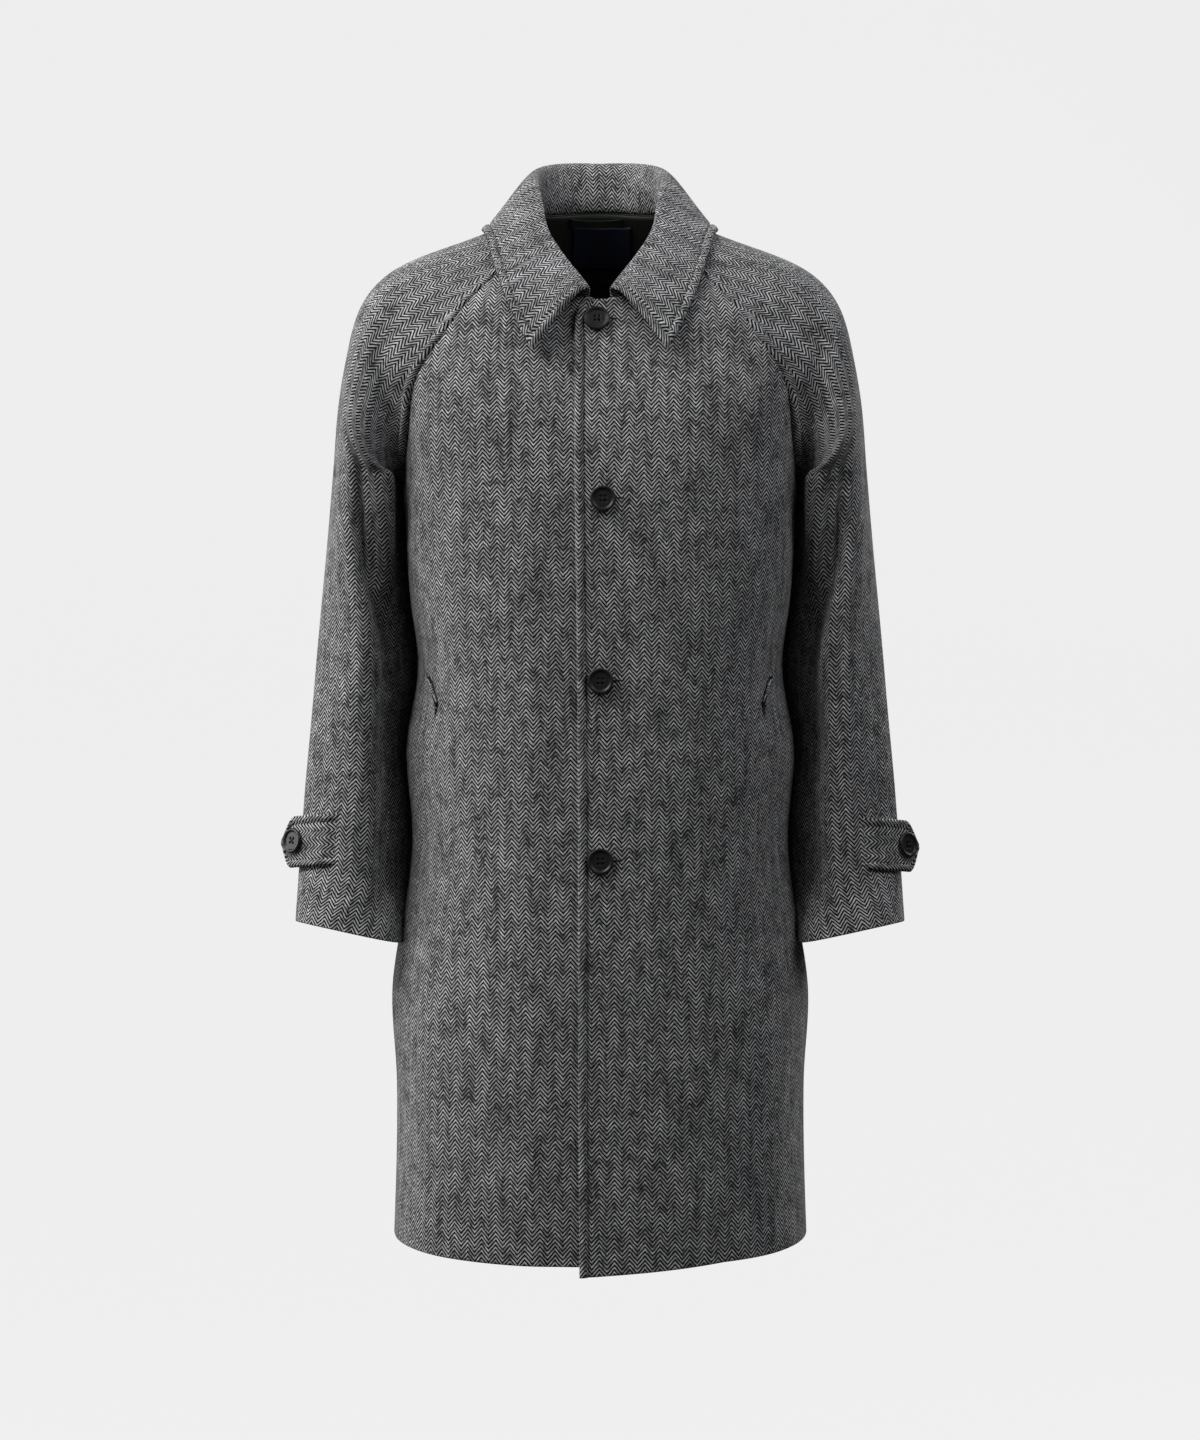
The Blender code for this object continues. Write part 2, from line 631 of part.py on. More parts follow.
def grid_faces(rows, columns, start, flip):
    """Quads of a grid of points, as index tuples."""
    faces = []
    for row in range(rows - 1):
        for column in range(columns - 1):
            corner = start + row * columns + column
            quad = (corner, corner + 1, corner + columns + 1, corner + columns)
            faces.append(quad[::-1] if flip else quad)
    return faces


def border_loop(rows, columns):
    """Indices once round the border of a grid."""
    top = list(range(columns))
    right = [row * columns + columns - 1 for row in range(1, rows)]
    bottom = [(rows - 1) * columns + column for column in range(columns - 2, -1, -1)]
    left = [row * columns for row in range(rows - 2, 0, -1)]
    return top + right + bottom + left


def finish(name, colour, roughness):
    """One plain finish for a piece."""
    look = bpy.data.materials.new(name)
    look.use_nodes = True
    shader = look.node_tree.nodes["Principled BSDF"]
    shader.inputs["Base Color"].default_value = colour
    shader.inputs["Roughness"].default_value = roughness
    shader.inputs["Metallic"].default_value = 0.0
    return look


def add_solid(name, vertices, faces, look):
    """One closed object with its faces turned outwards."""
    mesh = bpy.data.meshes.new(name)
    mesh.from_pydata([tuple(vertex) for vertex in vertices], [], faces)
    shape = bmesh.new()
    shape.from_mesh(mesh)
    bmesh.ops.triangulate(shape, faces=shape.faces)
    bmesh.ops.recalc_face_normals(shape, faces=shape.faces)
    shape.to_mesh(mesh)
    shape.free()
    mesh.materials.append(look)
    thing = bpy.data.objects.new(name, mesh)
    bpy.context.scene.collection.objects.link(thing)
    return thing


def add_wall(name, outer, outward, wall, look):
    """A cloth wall: the outer grid, a second grid one wall inside it, and the rim between."""
    rows, columns = outer.shape[:2]
    inner = outer - outward * wall
    count = rows * columns
    faces = grid_faces(rows, columns, 0, False) + grid_faces(rows, columns, count, True)
    loop = border_loop(rows, columns)
    for here, there in zip(loop, loop[1:] + loop[:1]):
        faces.append((there, here, count + here, count + there))
    return add_solid(name, np.concatenate((outer.reshape(-1, 3), inner.reshape(-1, 3))), faces, look)


def edge_shares(side, levels):
    """Share, below zero, of each front row's free edge past the centre line."""
    heights = front_surface(side, levels, 0.0 * levels)[:, 2]
    reach = smooth(EDGE, "height", "reach", heights)
    if side < 0:
        reach = reach * UNDERLAP / np.max(EDGE["reach"])
    shares = np.linspace(0.0, 0.5, FINE_STEPS)
    across = body_quarter(-1.0, levels[:, None], shares[None, :])[..., 0]
    return -np.array([np.interp(far, row, shares) for far, row in zip(reach, across)])


def make_front(side, word, look):
    """One front, from its free edge past the centre line to the side and raglan seam."""
    edge = edge_shares(side, BODY_LEVELS)
    run = np.linspace(0.0, 1.0, QUARTER_COLUMNS + 1)
    share = edge[:, None] + (1.0 - edge[:, None]) * run[None, :]
    outer = front_surface(side, BODY_LEVELS[:, None], share)
    outward = turned_out(grid_normals(outer), outer, DEEP_INSIDE)
    outward[:, -1] = body_seam_normals(side, -1.0, BODY_LEVELS)
    outer = draw_in(outer, outward, ("last", "top"))
    return add_wall("front_" + word, outer, outward, WALL, look)


def make_back(look):
    """The back, in one piece from side seam to side seam."""
    share = np.linspace(-1.0, 1.0, 2 * QUARTER_COLUMNS - 1)
    outer = back_surface(BODY_LEVELS[:, None], share[None, :])
    outward = turned_out(grid_normals(outer), outer, DEEP_INSIDE)
    outward[:, 0] = body_seam_normals(-1.0, 1.0, BODY_LEVELS)
    outward[:, -1] = body_seam_normals(1.0, 1.0, BODY_LEVELS)
    outer = draw_in(outer, outward, ("first", "last", "top"))
    return add_wall("back", outer, outward, WALL, look)


def make_sleeve(side, sign, name, look):
    """Half a raglan sleeve with its largest folds, from its seam to the overarm line."""
    columns = SLEEVE_FRONT_COLUMNS if sign < 0 else SLEEVE_BACK_COLUMNS
    level, share = SLEEVE_LEVELS[:, None], np.linspace(0.0, 1.0, columns)[None, :]
    outer = sleeve_surface(side, sign, level, share)
    middle = 0.5 * (outer[:, :1] + outer[:, -1:])
    outward = turned_out(grid_normals(outer), outer, middle)
    if sign < 0:
        outer = outer - outward * fold_depth(SLEEVE_FOLDS, level, share)[..., None]
        outward = turned_out(grid_normals(outer), outer, middle)
    outward[:, 0] = sleeve_seam_normals(side, sign, SLEEVE_LEVELS)
    outward[:, -1] = overarm_normals(side, SLEEVE_LEVELS)
    outer = draw_in(outer, outward, ("first", "last", "top"))
    return add_wall(name, outer, outward, WALL, look)


def neckline(side, share):
    """Neckline from centre back to the collar's front end: points, normals and way up."""
    run = np.linspace(0.0, 1.0, NECK_STEPS)
    across = body_quarter(-1.0, TOP + 0.0 * run, run)[:, 0]
    stop = np.interp(COLLAR_END, across, run)
    stretches = (
        (lambda level, at: back_surface(level, side * at), run),
        (lambda level, at: sleeve_surface(side, 1.0, level, at), run),
        (lambda level, at: sleeve_surface(side, -1.0, level, at), run[::-1]),
        (lambda level, at: front_surface(side, level, at), 1.0 - run * (1.0 - stop)),
    )
    line, face, up = [], [], []
    for surface, at in stretches:
        top = surface(TOP + 0.0 * at, at)
        normal = surface_normals(surface, TOP + 0.0 * at, at)
        line.append(top)
        face.append(turned_out(normal, top, NECK_INSIDE))
        up.append(unit(top - surface(TOP - STEP + 0.0 * at, at)))
    line, face, up = (np.concatenate(each) for each in (line, face, up))
    along = np.concatenate(((0.0,), np.cumsum(np.linalg.norm(np.diff(line, axis=0), axis=1))))
    along /= along[-1]
    read = [np.stack([np.interp(share, along, each[:, axis]) for axis in range(3)], axis=-1)
            for each in (line, face, up)]
    return read[0], unit(read[1]), unit(read[2])


def collar_grid(share):
    """Face of the folded collar: up the stand, over the roll and down the leaf."""
    line, face, up = np.empty((3, len(share), 3))
    for side in (-1.0, 1.0):
        own = share * side >= 0.0
        line[own], face[own], up[own] = neckline(side, np.abs(share[own]))
    near = np.abs(share)
    side = np.where(share < 0.0, -1.0, 1.0)
    base = line - face * WALL + up * COLLAR_SEAM_GAP
    roll = points(side * smooth(COLLAR, "share", "roll_x", near),
                  smooth(COLLAR, "share", "roll_y", near), smooth(COLLAR, "share", "roll_z", near))
    edge = points(side * smooth(COLLAR, "share", "edge_x", near),
                  smooth(COLLAR, "share", "edge_y", near), smooth(COLLAR, "share", "edge_z", near))
    out = unit((edge - base) * np.array((1.0, 1.0, 0.0)))
    reach = smooth(COLLAR, "share", "roll", near)[:, None]
    tall = np.linalg.norm(roll - base, axis=-1, keepdims=True)
    stand_at = np.broadcast_to(COLLAR_STAND_SHARES, (len(share), len(COLLAR_STAND_SHARES)))
    leaf_at = np.broadcast_to(COLLAR_LEAF_SHARES, (len(share), len(COLLAR_LEAF_SHARES)))
    stand_reach = np.minimum(reach, STAND_REACH * tall)
    stand = bezier(base[:, None], (up * tall * STAND_PULL)[:, None], (-out * stand_reach)[:, None],
                   roll[:, None], stand_at)
    hold = (roll - edge) * LEAF_HOLD + out * LEAF_SPRING
    leaf = bezier(roll[:, None], (out * reach)[:, None], hold[:, None], edge[:, None], leaf_at)
    grid = np.concatenate((stand, leaf), axis=1)
    outward = grid_normals(grid)
    if np.sum(outward[:, -2] * out) < 0:
        outward = -outward
    outward[:, 0] = -face
    return grid, outward


def shoulder_cloth():
    """Points and normals all over the cloth that the collar leaf lies on."""
    level = np.linspace(LEAF_LIES_ON, TOP, NECK_STEPS)[:, None]
    share = np.linspace(0.0, 1.0, NECK_STEPS)[None, :]
    places, faces = [], []
    for side in (-1.0, 1.0):
        surfaces = (
            lambda at, run: front_surface(side, at, run),
            lambda at, run: back_surface(at, side * run),
            lambda at, run: sleeve_surface(side, 1.0, at, run),
            lambda at, run: sleeve_surface(side, -1.0, at, run),
        )
        for surface in surfaces:
            grid = surface(level, share)
            normal = surface_normals(surface, level, np.clip(share, STEP, 1.0 - STEP))
            places.append(grid.reshape(-1, 3))
            faces.append(turned_out(normal, grid, CHEST_INSIDE).reshape(-1, 3))
    return np.concatenate(places), np.concatenate(faces)


def lifted_leaf(grid):
    """The collar with its leaf moved out softly wherever it would sink into the shoulders."""
    places, faces = shoulder_cloth()
    leaf = grid[:, len(COLLAR_STAND_SHARES):]
    spots = leaf.reshape(-1, 3)
    nearest = np.array([np.argmin(np.sum((places - spot) ** 2, axis=1)) for spot in spots])
    height = np.sum((spots - places[nearest]) * faces[nearest], axis=1)
    short = COLLAR_WALL + LEAF_GAP - height
    push = 0.5 * (short + np.sqrt(short ** 2 + LEAF_SOFT ** 2))
    push *= ease(LEAF_LIFT_FROM, LEAF_LIFT_FULL, np.tile(COLLAR_LEAF_SHARES, len(grid)))
    grid = grid.copy()
    grid[:, len(COLLAR_STAND_SHARES):] = (spots + faces[nearest] * push[:, None]).reshape(leaf.shape)
    return grid


def make_collar(look):
    """The folded collar, both layers as one wall, from one front end round to the other."""
    grid, outward = collar_grid(np.linspace(-1.0, 1.0, COLLAR_ROWS))
    grid = lifted_leaf(grid)
    turn = np.sign(np.sum(grid_normals(grid) * outward))
    outward[:, 1:] = (grid_normals(grid) * turn)[:, 1:]
    return add_wall("collar", grid, outward, COLLAR_WALL, look)


def clear_scene():
    """Remove every object that the file starts with."""
    for thing in list(bpy.data.objects):
        bpy.data.objects.remove(thing, do_unlink=True)


def found(surface, x, z, level, share):
    """Level and share where a surface has the given x and z, by Newton steps."""
    for _ in range(NEWTON_STEPS):
        here = surface(level, share)
        by_level = (here - surface(level - STEP, share)) / STEP
        by_share = (surface(level, share + STEP) - here) / STEP
        miss_x, miss_z = x - here[..., 0], z - here[..., 2]
        area = by_level[..., 0] * by_share[..., 2] - by_share[..., 0] * by_level[..., 2]
        level = level + (miss_x * by_share[..., 2] - by_share[..., 0] * miss_z) / area
        share = share + (by_level[..., 0] * miss_z - miss_x * by_level[..., 2]) / area
        level, share = np.clip(level, STEP, TOP), np.clip(share, -FAR_SHARE, FAR_SHARE)
    return level, share


def resting(thing, grid, outward, gap):
    """The grid laid on an object's own faces, a gap outside them along the given normals."""
    mesh = thing.data
    tree = BVHTree.FromPolygons([spot.co for spot in mesh.vertices],
                                [face.vertices[:] for face in mesh.polygons])
    laid = grid.copy()
    for index in np.ndindex(*grid.shape[:-1]):
        away = outward[index]
        hit = tree.ray_cast(grid[index] + away * RAY_START, -away)[0]
        if hit is not None:
            laid[index] = np.array(hit) + away * gap
    return laid


def make_welt(side, word, front, look):
    """A slanted band that lies on the front, from its upper end down and outwards."""

    def cloth(level, share):
        return front_surface(side, level, share)

    run = np.linspace(0.0, 1.0, FINE_STEPS)
    middle_row = cloth(np.mean(WELT_LEVELS), run)
    steps = np.linalg.norm(np.diff(middle_row, axis=0), axis=1)
    along_row = np.concatenate(((0.0,), np.cumsum(steps)))
    inner = np.interp(WELT_ACROSS, middle_row[:, 0] * side, along_row)
    down = np.linspace(0.0, WELT_LENGTH, WELT_COLUMNS)[None, :]
    end = np.linspace(0.0, 1.0, WELT_ROWS)[:, None]
    arc = inner + end * WELT_END_ACROSS + down * math.sin(WELT_SLANT)
    height = WELT_TOP + end * WELT_END_RISE - down * math.cos(WELT_SLANT)
    share = np.interp(arc, along_row, run)
    low, high = WELT_LEVELS
    low_height = cloth(low, share)[..., 2]
    high_height = cloth(high, share)[..., 2]
    level = low + (high - low) * (height - low_height) / (high_height - low_height)
    grid = cloth(level, share)
    outward = turned_out(surface_normals(cloth, level, share), grid, DEEP_INSIDE)
    grid = resting(front, grid, outward, WELT_GAP + WELT_WALL)
    return add_wall("pocket_welt_" + word, grid, outward, WELT_WALL, look)


def button_mesh():
    """A round button about +Z: flat back at 0, rounded rim and a dished middle."""
    inner = BUTTON_RADIUS - BUTTON_RIM
    profile = (
        (BUTTON_RADIUS - BUTTON_EDGE, 0.0),
        (BUTTON_RADIUS, BUTTON_THICK * BUTTON_SIDE_LOW),
        (BUTTON_RADIUS, BUTTON_THICK * BUTTON_SIDE_HIGH),
        (BUTTON_RADIUS - BUTTON_EDGE, BUTTON_THICK),
        (inner + BUTTON_EDGE, BUTTON_THICK),
        (inner - BUTTON_EDGE, BUTTON_THICK - BUTTON_DISH),
    )
    turn = np.linspace(0.0, 2.0 * math.pi, BUTTON_SIDES, endpoint=False)
    rings = [points(radius * np.cos(turn), radius * np.sin(turn), high) for radius, high in profile]
    count = BUTTON_SIDES
    faces = []
    for ring in range(len(profile) - 1):
        for corner in range(count):
            after = (corner + 1) % count
            faces.append((ring * count + corner, ring * count + after,
                          (ring + 1) * count + after, (ring + 1) * count + corner))
    faces.append(tuple(range(count))[::-1])
    faces.append(tuple(range((len(profile) - 1) * count, len(profile) * count)))
    return np.concatenate(rings), faces


def add_button(name, place, outward, look):
    """A button whose back centre is at a place, facing outward."""
    across = unit(np.cross(UPWARD, outward))
    vertices, faces = button_mesh()
    turned = vertices @ np.stack((across, np.cross(outward, across), outward))
    return add_solid(name, turned + place, faces, look)


def make_front_buttons(front, look):
    """Four buttons down the left front, where it laps over the right one."""

    def left_front(level, share):
        return front_surface(1.0, level, share)

    for number, (x, z) in enumerate(FRONT_BUTTONS):
        guess = np.interp(z, (HEM_FRONT, UNDERARM_FRONT, FRONT_TOP), (0.0, 1.0, TOP))
        level, share = found(left_front, x, z, guess, x / FRONT_HALF_GIRTH)
        place = left_front(level, share)
        outward = surface_normals(left_front, level, share)
        outward = outward if outward[1] < 0 else -outward
        place = resting(front, place[None], outward[None], BUTTON_GAP)[0]
        add_button("front_button_%d" % (number + 1), place, outward, look)


def make_cuff_tab(side, word, sleeve, cloth, horn):
    """A pointed strap: sewn on the front of the sleeve, its far end standing free."""

    def sleeve_front(level, share):
        return sleeve_surface(side, -1.0, level, share)

    across = TAB_ACROSS
    on_sleeve = np.linspace(TAB_ROOT, TAB_LEAVE, TAB_COLUMNS)
    centre = TAB_LEVEL_LEFT if side > 0 else TAB_LEVEL_RIGHT
    level = centre + TAB_HALF_WIDTH * across[:, None] + TAB_TILT * (on_sleeve[None, :] - TAB_ROOT)
    share = np.broadcast_to(on_sleeve, level.shape)
    grid = sleeve_front(level, share)
    middle = np.mean(sleeve_front(np.full(2, centre), np.array((0.0, 1.0))), axis=0)
    outward = turned_out(surface_normals(sleeve_front, level, share), grid, middle)
    grid = resting(sleeve, grid, outward, LAY_GAP + TAB_WALL)
    grid += outward * (TAB_LIFT * ease(TAB_ROOT, TAB_LEAVE, on_sleeve))[None, :, None]
    way = unit(grid[:, -1] - grid[:, -2])
    far = TAB_FREE * TAB_FREE_SHARES
    taper = 1.0 - ease(TAB_FREE - TAB_POINT, TAB_FREE + TAB_BLUNT, far)
    half = len(across) // 2
    middle_edge = grid[half, -1]
    middle_way = unit(np.mean(way, axis=0))
    bend = outward[half, -1]
    free = middle_edge + middle_way * far[:, None] - bend * (far[:, None] ** 2) * TAB_CURL
    spread = grid[:, -1] - middle_edge
    beyond = free[None] + spread[:, None] * taper[None, :, None]
    grid = np.concatenate((grid, beyond), axis=1)
    outward = turned_out(grid_normals(grid), grid, middle)
    add_wall("cuff_tab_" + word, grid, outward, TAB_WALL, cloth)
    column = len(on_sleeve) + TAB_BUTTON_COLUMN
    place, face = grid[half, column], outward[half, column]
    add_button("cuff_button_" + word, place + face * BUTTON_GAP, face, horn)


def make_lining(back, look):
    """The part of the lining that shows inside the neck, hung on the back."""
    level = np.append(BODY_LEVELS[(BODY_LEVELS > LINING_LOW) & (BODY_LEVELS < TOP)], LINING_HIGH)
    level = level[:, None]
    share = np.linspace(-1.0, 1.0, 2 * QUARTER_COLUMNS - 1).clip(-LINING_SIDE, LINING_SIDE)[None, :]
    grid = back_surface(level, share)
    level, share = np.broadcast_arrays(level, share)
    outward = turned_out(surface_normals(back_surface, level, share), grid, DEEP_INSIDE)
    grid = resting(back, grid, -outward, LAY_GAP)
    return add_wall("lining_back", grid, outward, LINING_WALL, look)


def make_inside_patch(name, lining, centre, width, low, high, columns, slack, look):
    """A small flat piece sewn on the lining inside the neck, its middle slack off it."""
    run = np.linspace(-0.5, 0.5, columns)
    x = (centre + width * run)[None, :]
    z = np.linspace(low, high, PATCH_ROWS)[:, None]
    x, z = np.broadcast_arrays(x, z)
    level, share = found(back_surface, x, z, np.full(x.shape, PATCH_LEVEL), x / PATCH_HALF_GIRTH)
    grid = back_surface(level, share)
    outward = turned_out(surface_normals(back_surface, level, share), grid, DEEP_INSIDE)
    grid = resting(lining, grid, -outward, LAY_GAP)
    grid = grid - outward * (slack * (1.0 - (2.0 * run) ** 2))[None, :, None]
    return add_wall(name, grid, outward, LABEL_WALL, look)


clear_scene()
tweed = finish("herringbone_tweed", TWEED, 0.9)
satin = finish("dark_lining", LINING_COLOUR, 0.5)
woven = finish("navy_label", LABEL_COLOUR, 0.7)
horn = finish("charcoal_button", BUTTON_COLOUR, 0.35)
for side, word in ((1.0, "left"), (-1.0, "right")):
    front = make_front(side, word, tweed)
    sleeve = make_sleeve(side, -1.0, "sleeve_front_" + word, tweed)
    make_sleeve(side, 1.0, "sleeve_back_" + word, tweed)
    make_welt(side, word, front, tweed)
    make_cuff_tab(side, word, sleeve, tweed, horn)
    if side > 0:
        make_front_buttons(front, horn)
back = make_back(tweed)
make_collar(tweed)
lining = make_lining(back, satin)
make_inside_patch("neck_label", lining, LABEL_CENTRE, LABEL_WIDTH, LABEL_LOW, LABEL_TOP, 7, 0.0, woven)
make_inside_patch("size_tab", lining, SIZE_TAB_CENTRE, SIZE_TAB_WIDTH, SIZE_TAB_LOW, SIZE_TAB_TOP, 4,
                  0.0, woven)
make_inside_patch("hanger_loop", lining, LOOP_CENTRE, LOOP_WIDTH, LOOP_LOW, LOOP_TOP, 11, LOOP_SLACK,
                  satin)
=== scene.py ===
import math

import bmesh
import bpy
import numpy as np
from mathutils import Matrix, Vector
from mathutils.bvhtree import BVHTree
from mathutils.kdtree import KDTree


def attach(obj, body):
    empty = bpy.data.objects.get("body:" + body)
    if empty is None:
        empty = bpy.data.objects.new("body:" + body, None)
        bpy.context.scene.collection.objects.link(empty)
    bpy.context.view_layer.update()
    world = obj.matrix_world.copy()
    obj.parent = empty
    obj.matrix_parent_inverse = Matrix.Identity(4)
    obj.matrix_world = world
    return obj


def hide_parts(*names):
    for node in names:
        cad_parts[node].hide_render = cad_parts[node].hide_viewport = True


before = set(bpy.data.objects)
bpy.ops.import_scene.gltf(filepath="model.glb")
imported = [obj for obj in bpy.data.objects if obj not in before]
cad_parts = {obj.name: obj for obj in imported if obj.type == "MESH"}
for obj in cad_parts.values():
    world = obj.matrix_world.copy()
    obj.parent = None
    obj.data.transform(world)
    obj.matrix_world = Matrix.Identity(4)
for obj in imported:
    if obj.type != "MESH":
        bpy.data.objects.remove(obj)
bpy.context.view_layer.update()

# The view: straight at the front of the coat, level with its waist, from a little under three
# metres, which is how the photograph sees it.
CAMERA_DISTANCE = 2.70
CAMERA_HEIGHT = -0.51
FOCAL_PIXELS = 2621.0
PICTURE_HEIGHT = 1440.0
SENSOR = 36.0

camera_data = bpy.data.cameras.new("studio_camera")
camera_data.sensor_fit = "VERTICAL"
camera_data.sensor_height = SENSOR
camera_data.lens = FOCAL_PIXELS / PICTURE_HEIGHT * SENSOR
camera = bpy.data.objects.new("studio_camera", camera_data)
camera.location = (0.0, -CAMERA_DISTANCE, CAMERA_HEIGHT)
camera.rotation_euler = (math.radians(90.0), 0.0, 0.0)
bpy.context.scene.collection.objects.link(camera)
bpy.context.scene.camera = camera

# The studio: a pale sweep of paper that runs up behind the coat, one wide soft light high on
# the left side, weaker ones on the right, beside and behind the coat, and a dim pale surround.
# The paper glows to the eye only, so that the coat keeps its deep shadows.
PAPER = "EDEDED"
PAPER_GLOW = 0.975
FLOOR_HEIGHT = -1.62
SWEEP_BACK = 3.2
SWEEP_FRONT = -4.6
SWEEP_WIDE = 5.0
SWEEP_TALL = 4.5
SWEEP_ROUND = 1.2
SURROUND = "F2F4F8"
SURROUND_GLOW = 0.06


def linear(hexed, strength=1.0):
    """An sRGB hex colour as linear red, green, blue and alpha."""
    parts = np.array([int(hexed[at:at + 2], 16) for at in (0, 2, 4)]) / 255.0
    parts = np.where(parts <= 0.04045, parts / 12.92, ((parts + 0.055) / 1.055) ** 2.4)
    return (*(strength * parts), 1.0)


def wire(tree, made, **links):
    """Fill a node's inputs, each with a value or with another node's output.

    An input goes by its name, with _ for each blank, or by i and its number.
    """
    for key, value in links.items():
        socket = made.inputs[int(key[1:]) if key[1:].isdigit() else key.replace("_", " ")]
        if isinstance(value, bpy.types.Node):
            value = value.outputs[0]
        if isinstance(value, bpy.types.NodeSocket):
            tree.links.new(value, socket)
        else:
            socket.default_value = value
    return made


def node(tree, kind, settings=(), **links):
    """One new node with its settings, and its inputs filled."""
    made = tree.nodes.new(kind)
    for key, value in dict(settings).items():
        setattr(made, key, value)
    return wire(tree, made, **links)


def material(name):
    """A new material with its node tree and its Principled shader."""
    look = bpy.data.materials.new(name)
    look.use_nodes = True
    return look, look.node_tree, look.node_tree.nodes["Principled BSDF"]


def mesh_object(name, vertices, faces, look):
    """A smooth mesh from arrays of points and faces, at the origin, with one material."""
    mesh = bpy.data.meshes.new(name)
    mesh.from_pydata(vertices.tolist(), [], faces.tolist())
    mesh.materials.append(look)
    mesh.shade_smooth()
    thing = bpy.data.objects.new(name, mesh)
    bpy.context.scene.collection.objects.link(thing)
    return thing


def grid_quads(rows, columns, start=0, flip=False):
    """Quads between neighbouring points of a grid, as an array of four indices each."""
    corner = (np.arange(rows - 1)[:, None] * columns + np.arange(columns - 1)[None, :]).ravel()
    corner = corner + start
    quads = np.stack((corner, corner + 1, corner + columns + 1, corner + columns), axis=1)
    return quads[:, ::-1] if flip else quads


paper, tree, shader = material("paper_sweep")
seen = node(tree, "ShaderNodeLightPath").outputs["Is Camera Ray"]
glow = node(tree, "ShaderNodeMath", {"operation": "MULTIPLY"}, i0=seen, i1=PAPER_GLOW)
wire(tree, shader, Base_Color=linear(PAPER, 0.03), Roughness=0.9, Emission_Color=linear(PAPER),
     Emission_Strength=glow)
turn = np.linspace(0.0, math.pi / 2.0, 17)
sweep_y = np.concatenate(([SWEEP_FRONT], SWEEP_BACK - SWEEP_ROUND + SWEEP_ROUND * np.sin(turn),
                          [SWEEP_BACK]))
sweep_z = np.concatenate(([0.0], SWEEP_ROUND - SWEEP_ROUND * np.cos(turn), [SWEEP_TALL]))
sweep_x = np.array((-SWEEP_WIDE, SWEEP_WIDE))
sweep = np.stack(np.broadcast_arrays(sweep_x[None, :], sweep_y[:, None],
                                     sweep_z[:, None] + FLOOR_HEIGHT), axis=-1)
floor = mesh_object("studio_floor", sweep.reshape(-1, 3), grid_quads(len(sweep_y), 2), paper)

world = bpy.data.worlds.new("studio_surround")
world.use_nodes = True
wire(world.node_tree, world.node_tree.nodes["Background"], Color=linear(SURROUND),
     Strength=SURROUND_GLOW)
bpy.context.scene.world = world
bpy.context.scene.view_settings.view_transform = "Standard"

# The lights are square and soft, and all turned to the middle of the coat. Each is given by its
# place, how wide it is, its power and its colour.
COAT_MIDDLE = (0.0, 0.0, -0.50)
for name, place, wide, power, colour in (
        ("key_light", (-2.24, -0.96, 2.12), 2.4, 136.0, "FFFFFF"),
        ("right_light", (2.10, -1.55, 1.69), 1.6, 34.0, "FBFCFF"),
        ("side_light", (-3.34, 0.59, -0.20), 1.6, 42.0, "FFFFFF"),
        ("back_light", (2.30, 2.10, 1.00), 1.6, 46.0, "FFFFFF")):
    light = bpy.data.lights.new(name, "AREA")
    light.shape = "SQUARE"
    light.size = wide
    light.energy = power
    light.color = linear(colour)[:3]
    lamp = bpy.data.objects.new(name, light)
    lamp.location = place
    lamp.rotation_euler = (Vector(COAT_MIDDLE) - Vector(place)).to_track_quat("-Z", "Y").to_euler()
    bpy.context.scene.collection.objects.link(lamp)


# The two fronts: herringbone tweed, cut straight down the centre with a turned back edge that
# is stitched 9 mm in. They meet the sleeves along the raglan seams. The left one laps over.
WALL = 0.0025

# Where they lap, the right front sinks under the left one and reaches past the centre line. The
# hem of the left one drops a little towards its edge.
LAP_SINK = 0.0034
LAP_SINK_FULL = 0.032
LAP_SINK_END = 0.075
UNDERLAP = 0.030
HEM_DROP = 0.0105
HEM_DROP_WIDTH = 0.150
HEM_DROP_HEIGHT = 0.20

# Heights of the hem and of the underarm at the middle of the front, the side and the back.
HEM_FRONT = -1.035
HEM_SIDE = -1.028
HEM_BACK = -1.034
UNDERARM_FRONT = -0.290
UNDERARM_BACK = -0.285
UNDERARM_HEIGHT = -0.270
UPWARD = np.array((0.0, 0.0, 1.0))

# A point deep in the body, which the outside of the coat's cloth is turned away from.
DEEP_INSIDE = np.array((0.0, 0.0, -0.5))

# How far below and above the underarm the cloth is eased, the last level, and a small step.
EASE_BELOW = 0.14
EASE_ABOVE = 0.22
TOP = 2.0
STEP = 0.004

# Stitch lines of the front edge and the neck: how far in, how high the cloth swells beside the
# stitches and how deep they draw it in. The groove they make is 1.2 mm to each side.
STITCH_IN = 0.0090
FRONT_SWELL = 0.0027
FRONT_GROOVE = 0.0018
NECK_STITCH = 0.0060
NECK_SWELL = 0.0012
NECK_GROOVE = 0.0010
GROOVE_WIDE = 0.0012

# Unevenness fades out within 4 mm of a seam.
SEAM_SOFT = 0.004

# The cloth turns to face the way its seam does over the last part of each row.
SEAM_TURN = 0.94


def chart(columns, rows):
    """A short chart of sizes as one array per named column."""
    return dict(zip(columns, np.array(rows, dtype=float).T))


def fold(*rows):
    """One fold of the cloth: how far up it is, its share of the way across, width and depth."""
    return chart(("reach", "across", "width", "depth"), rows)


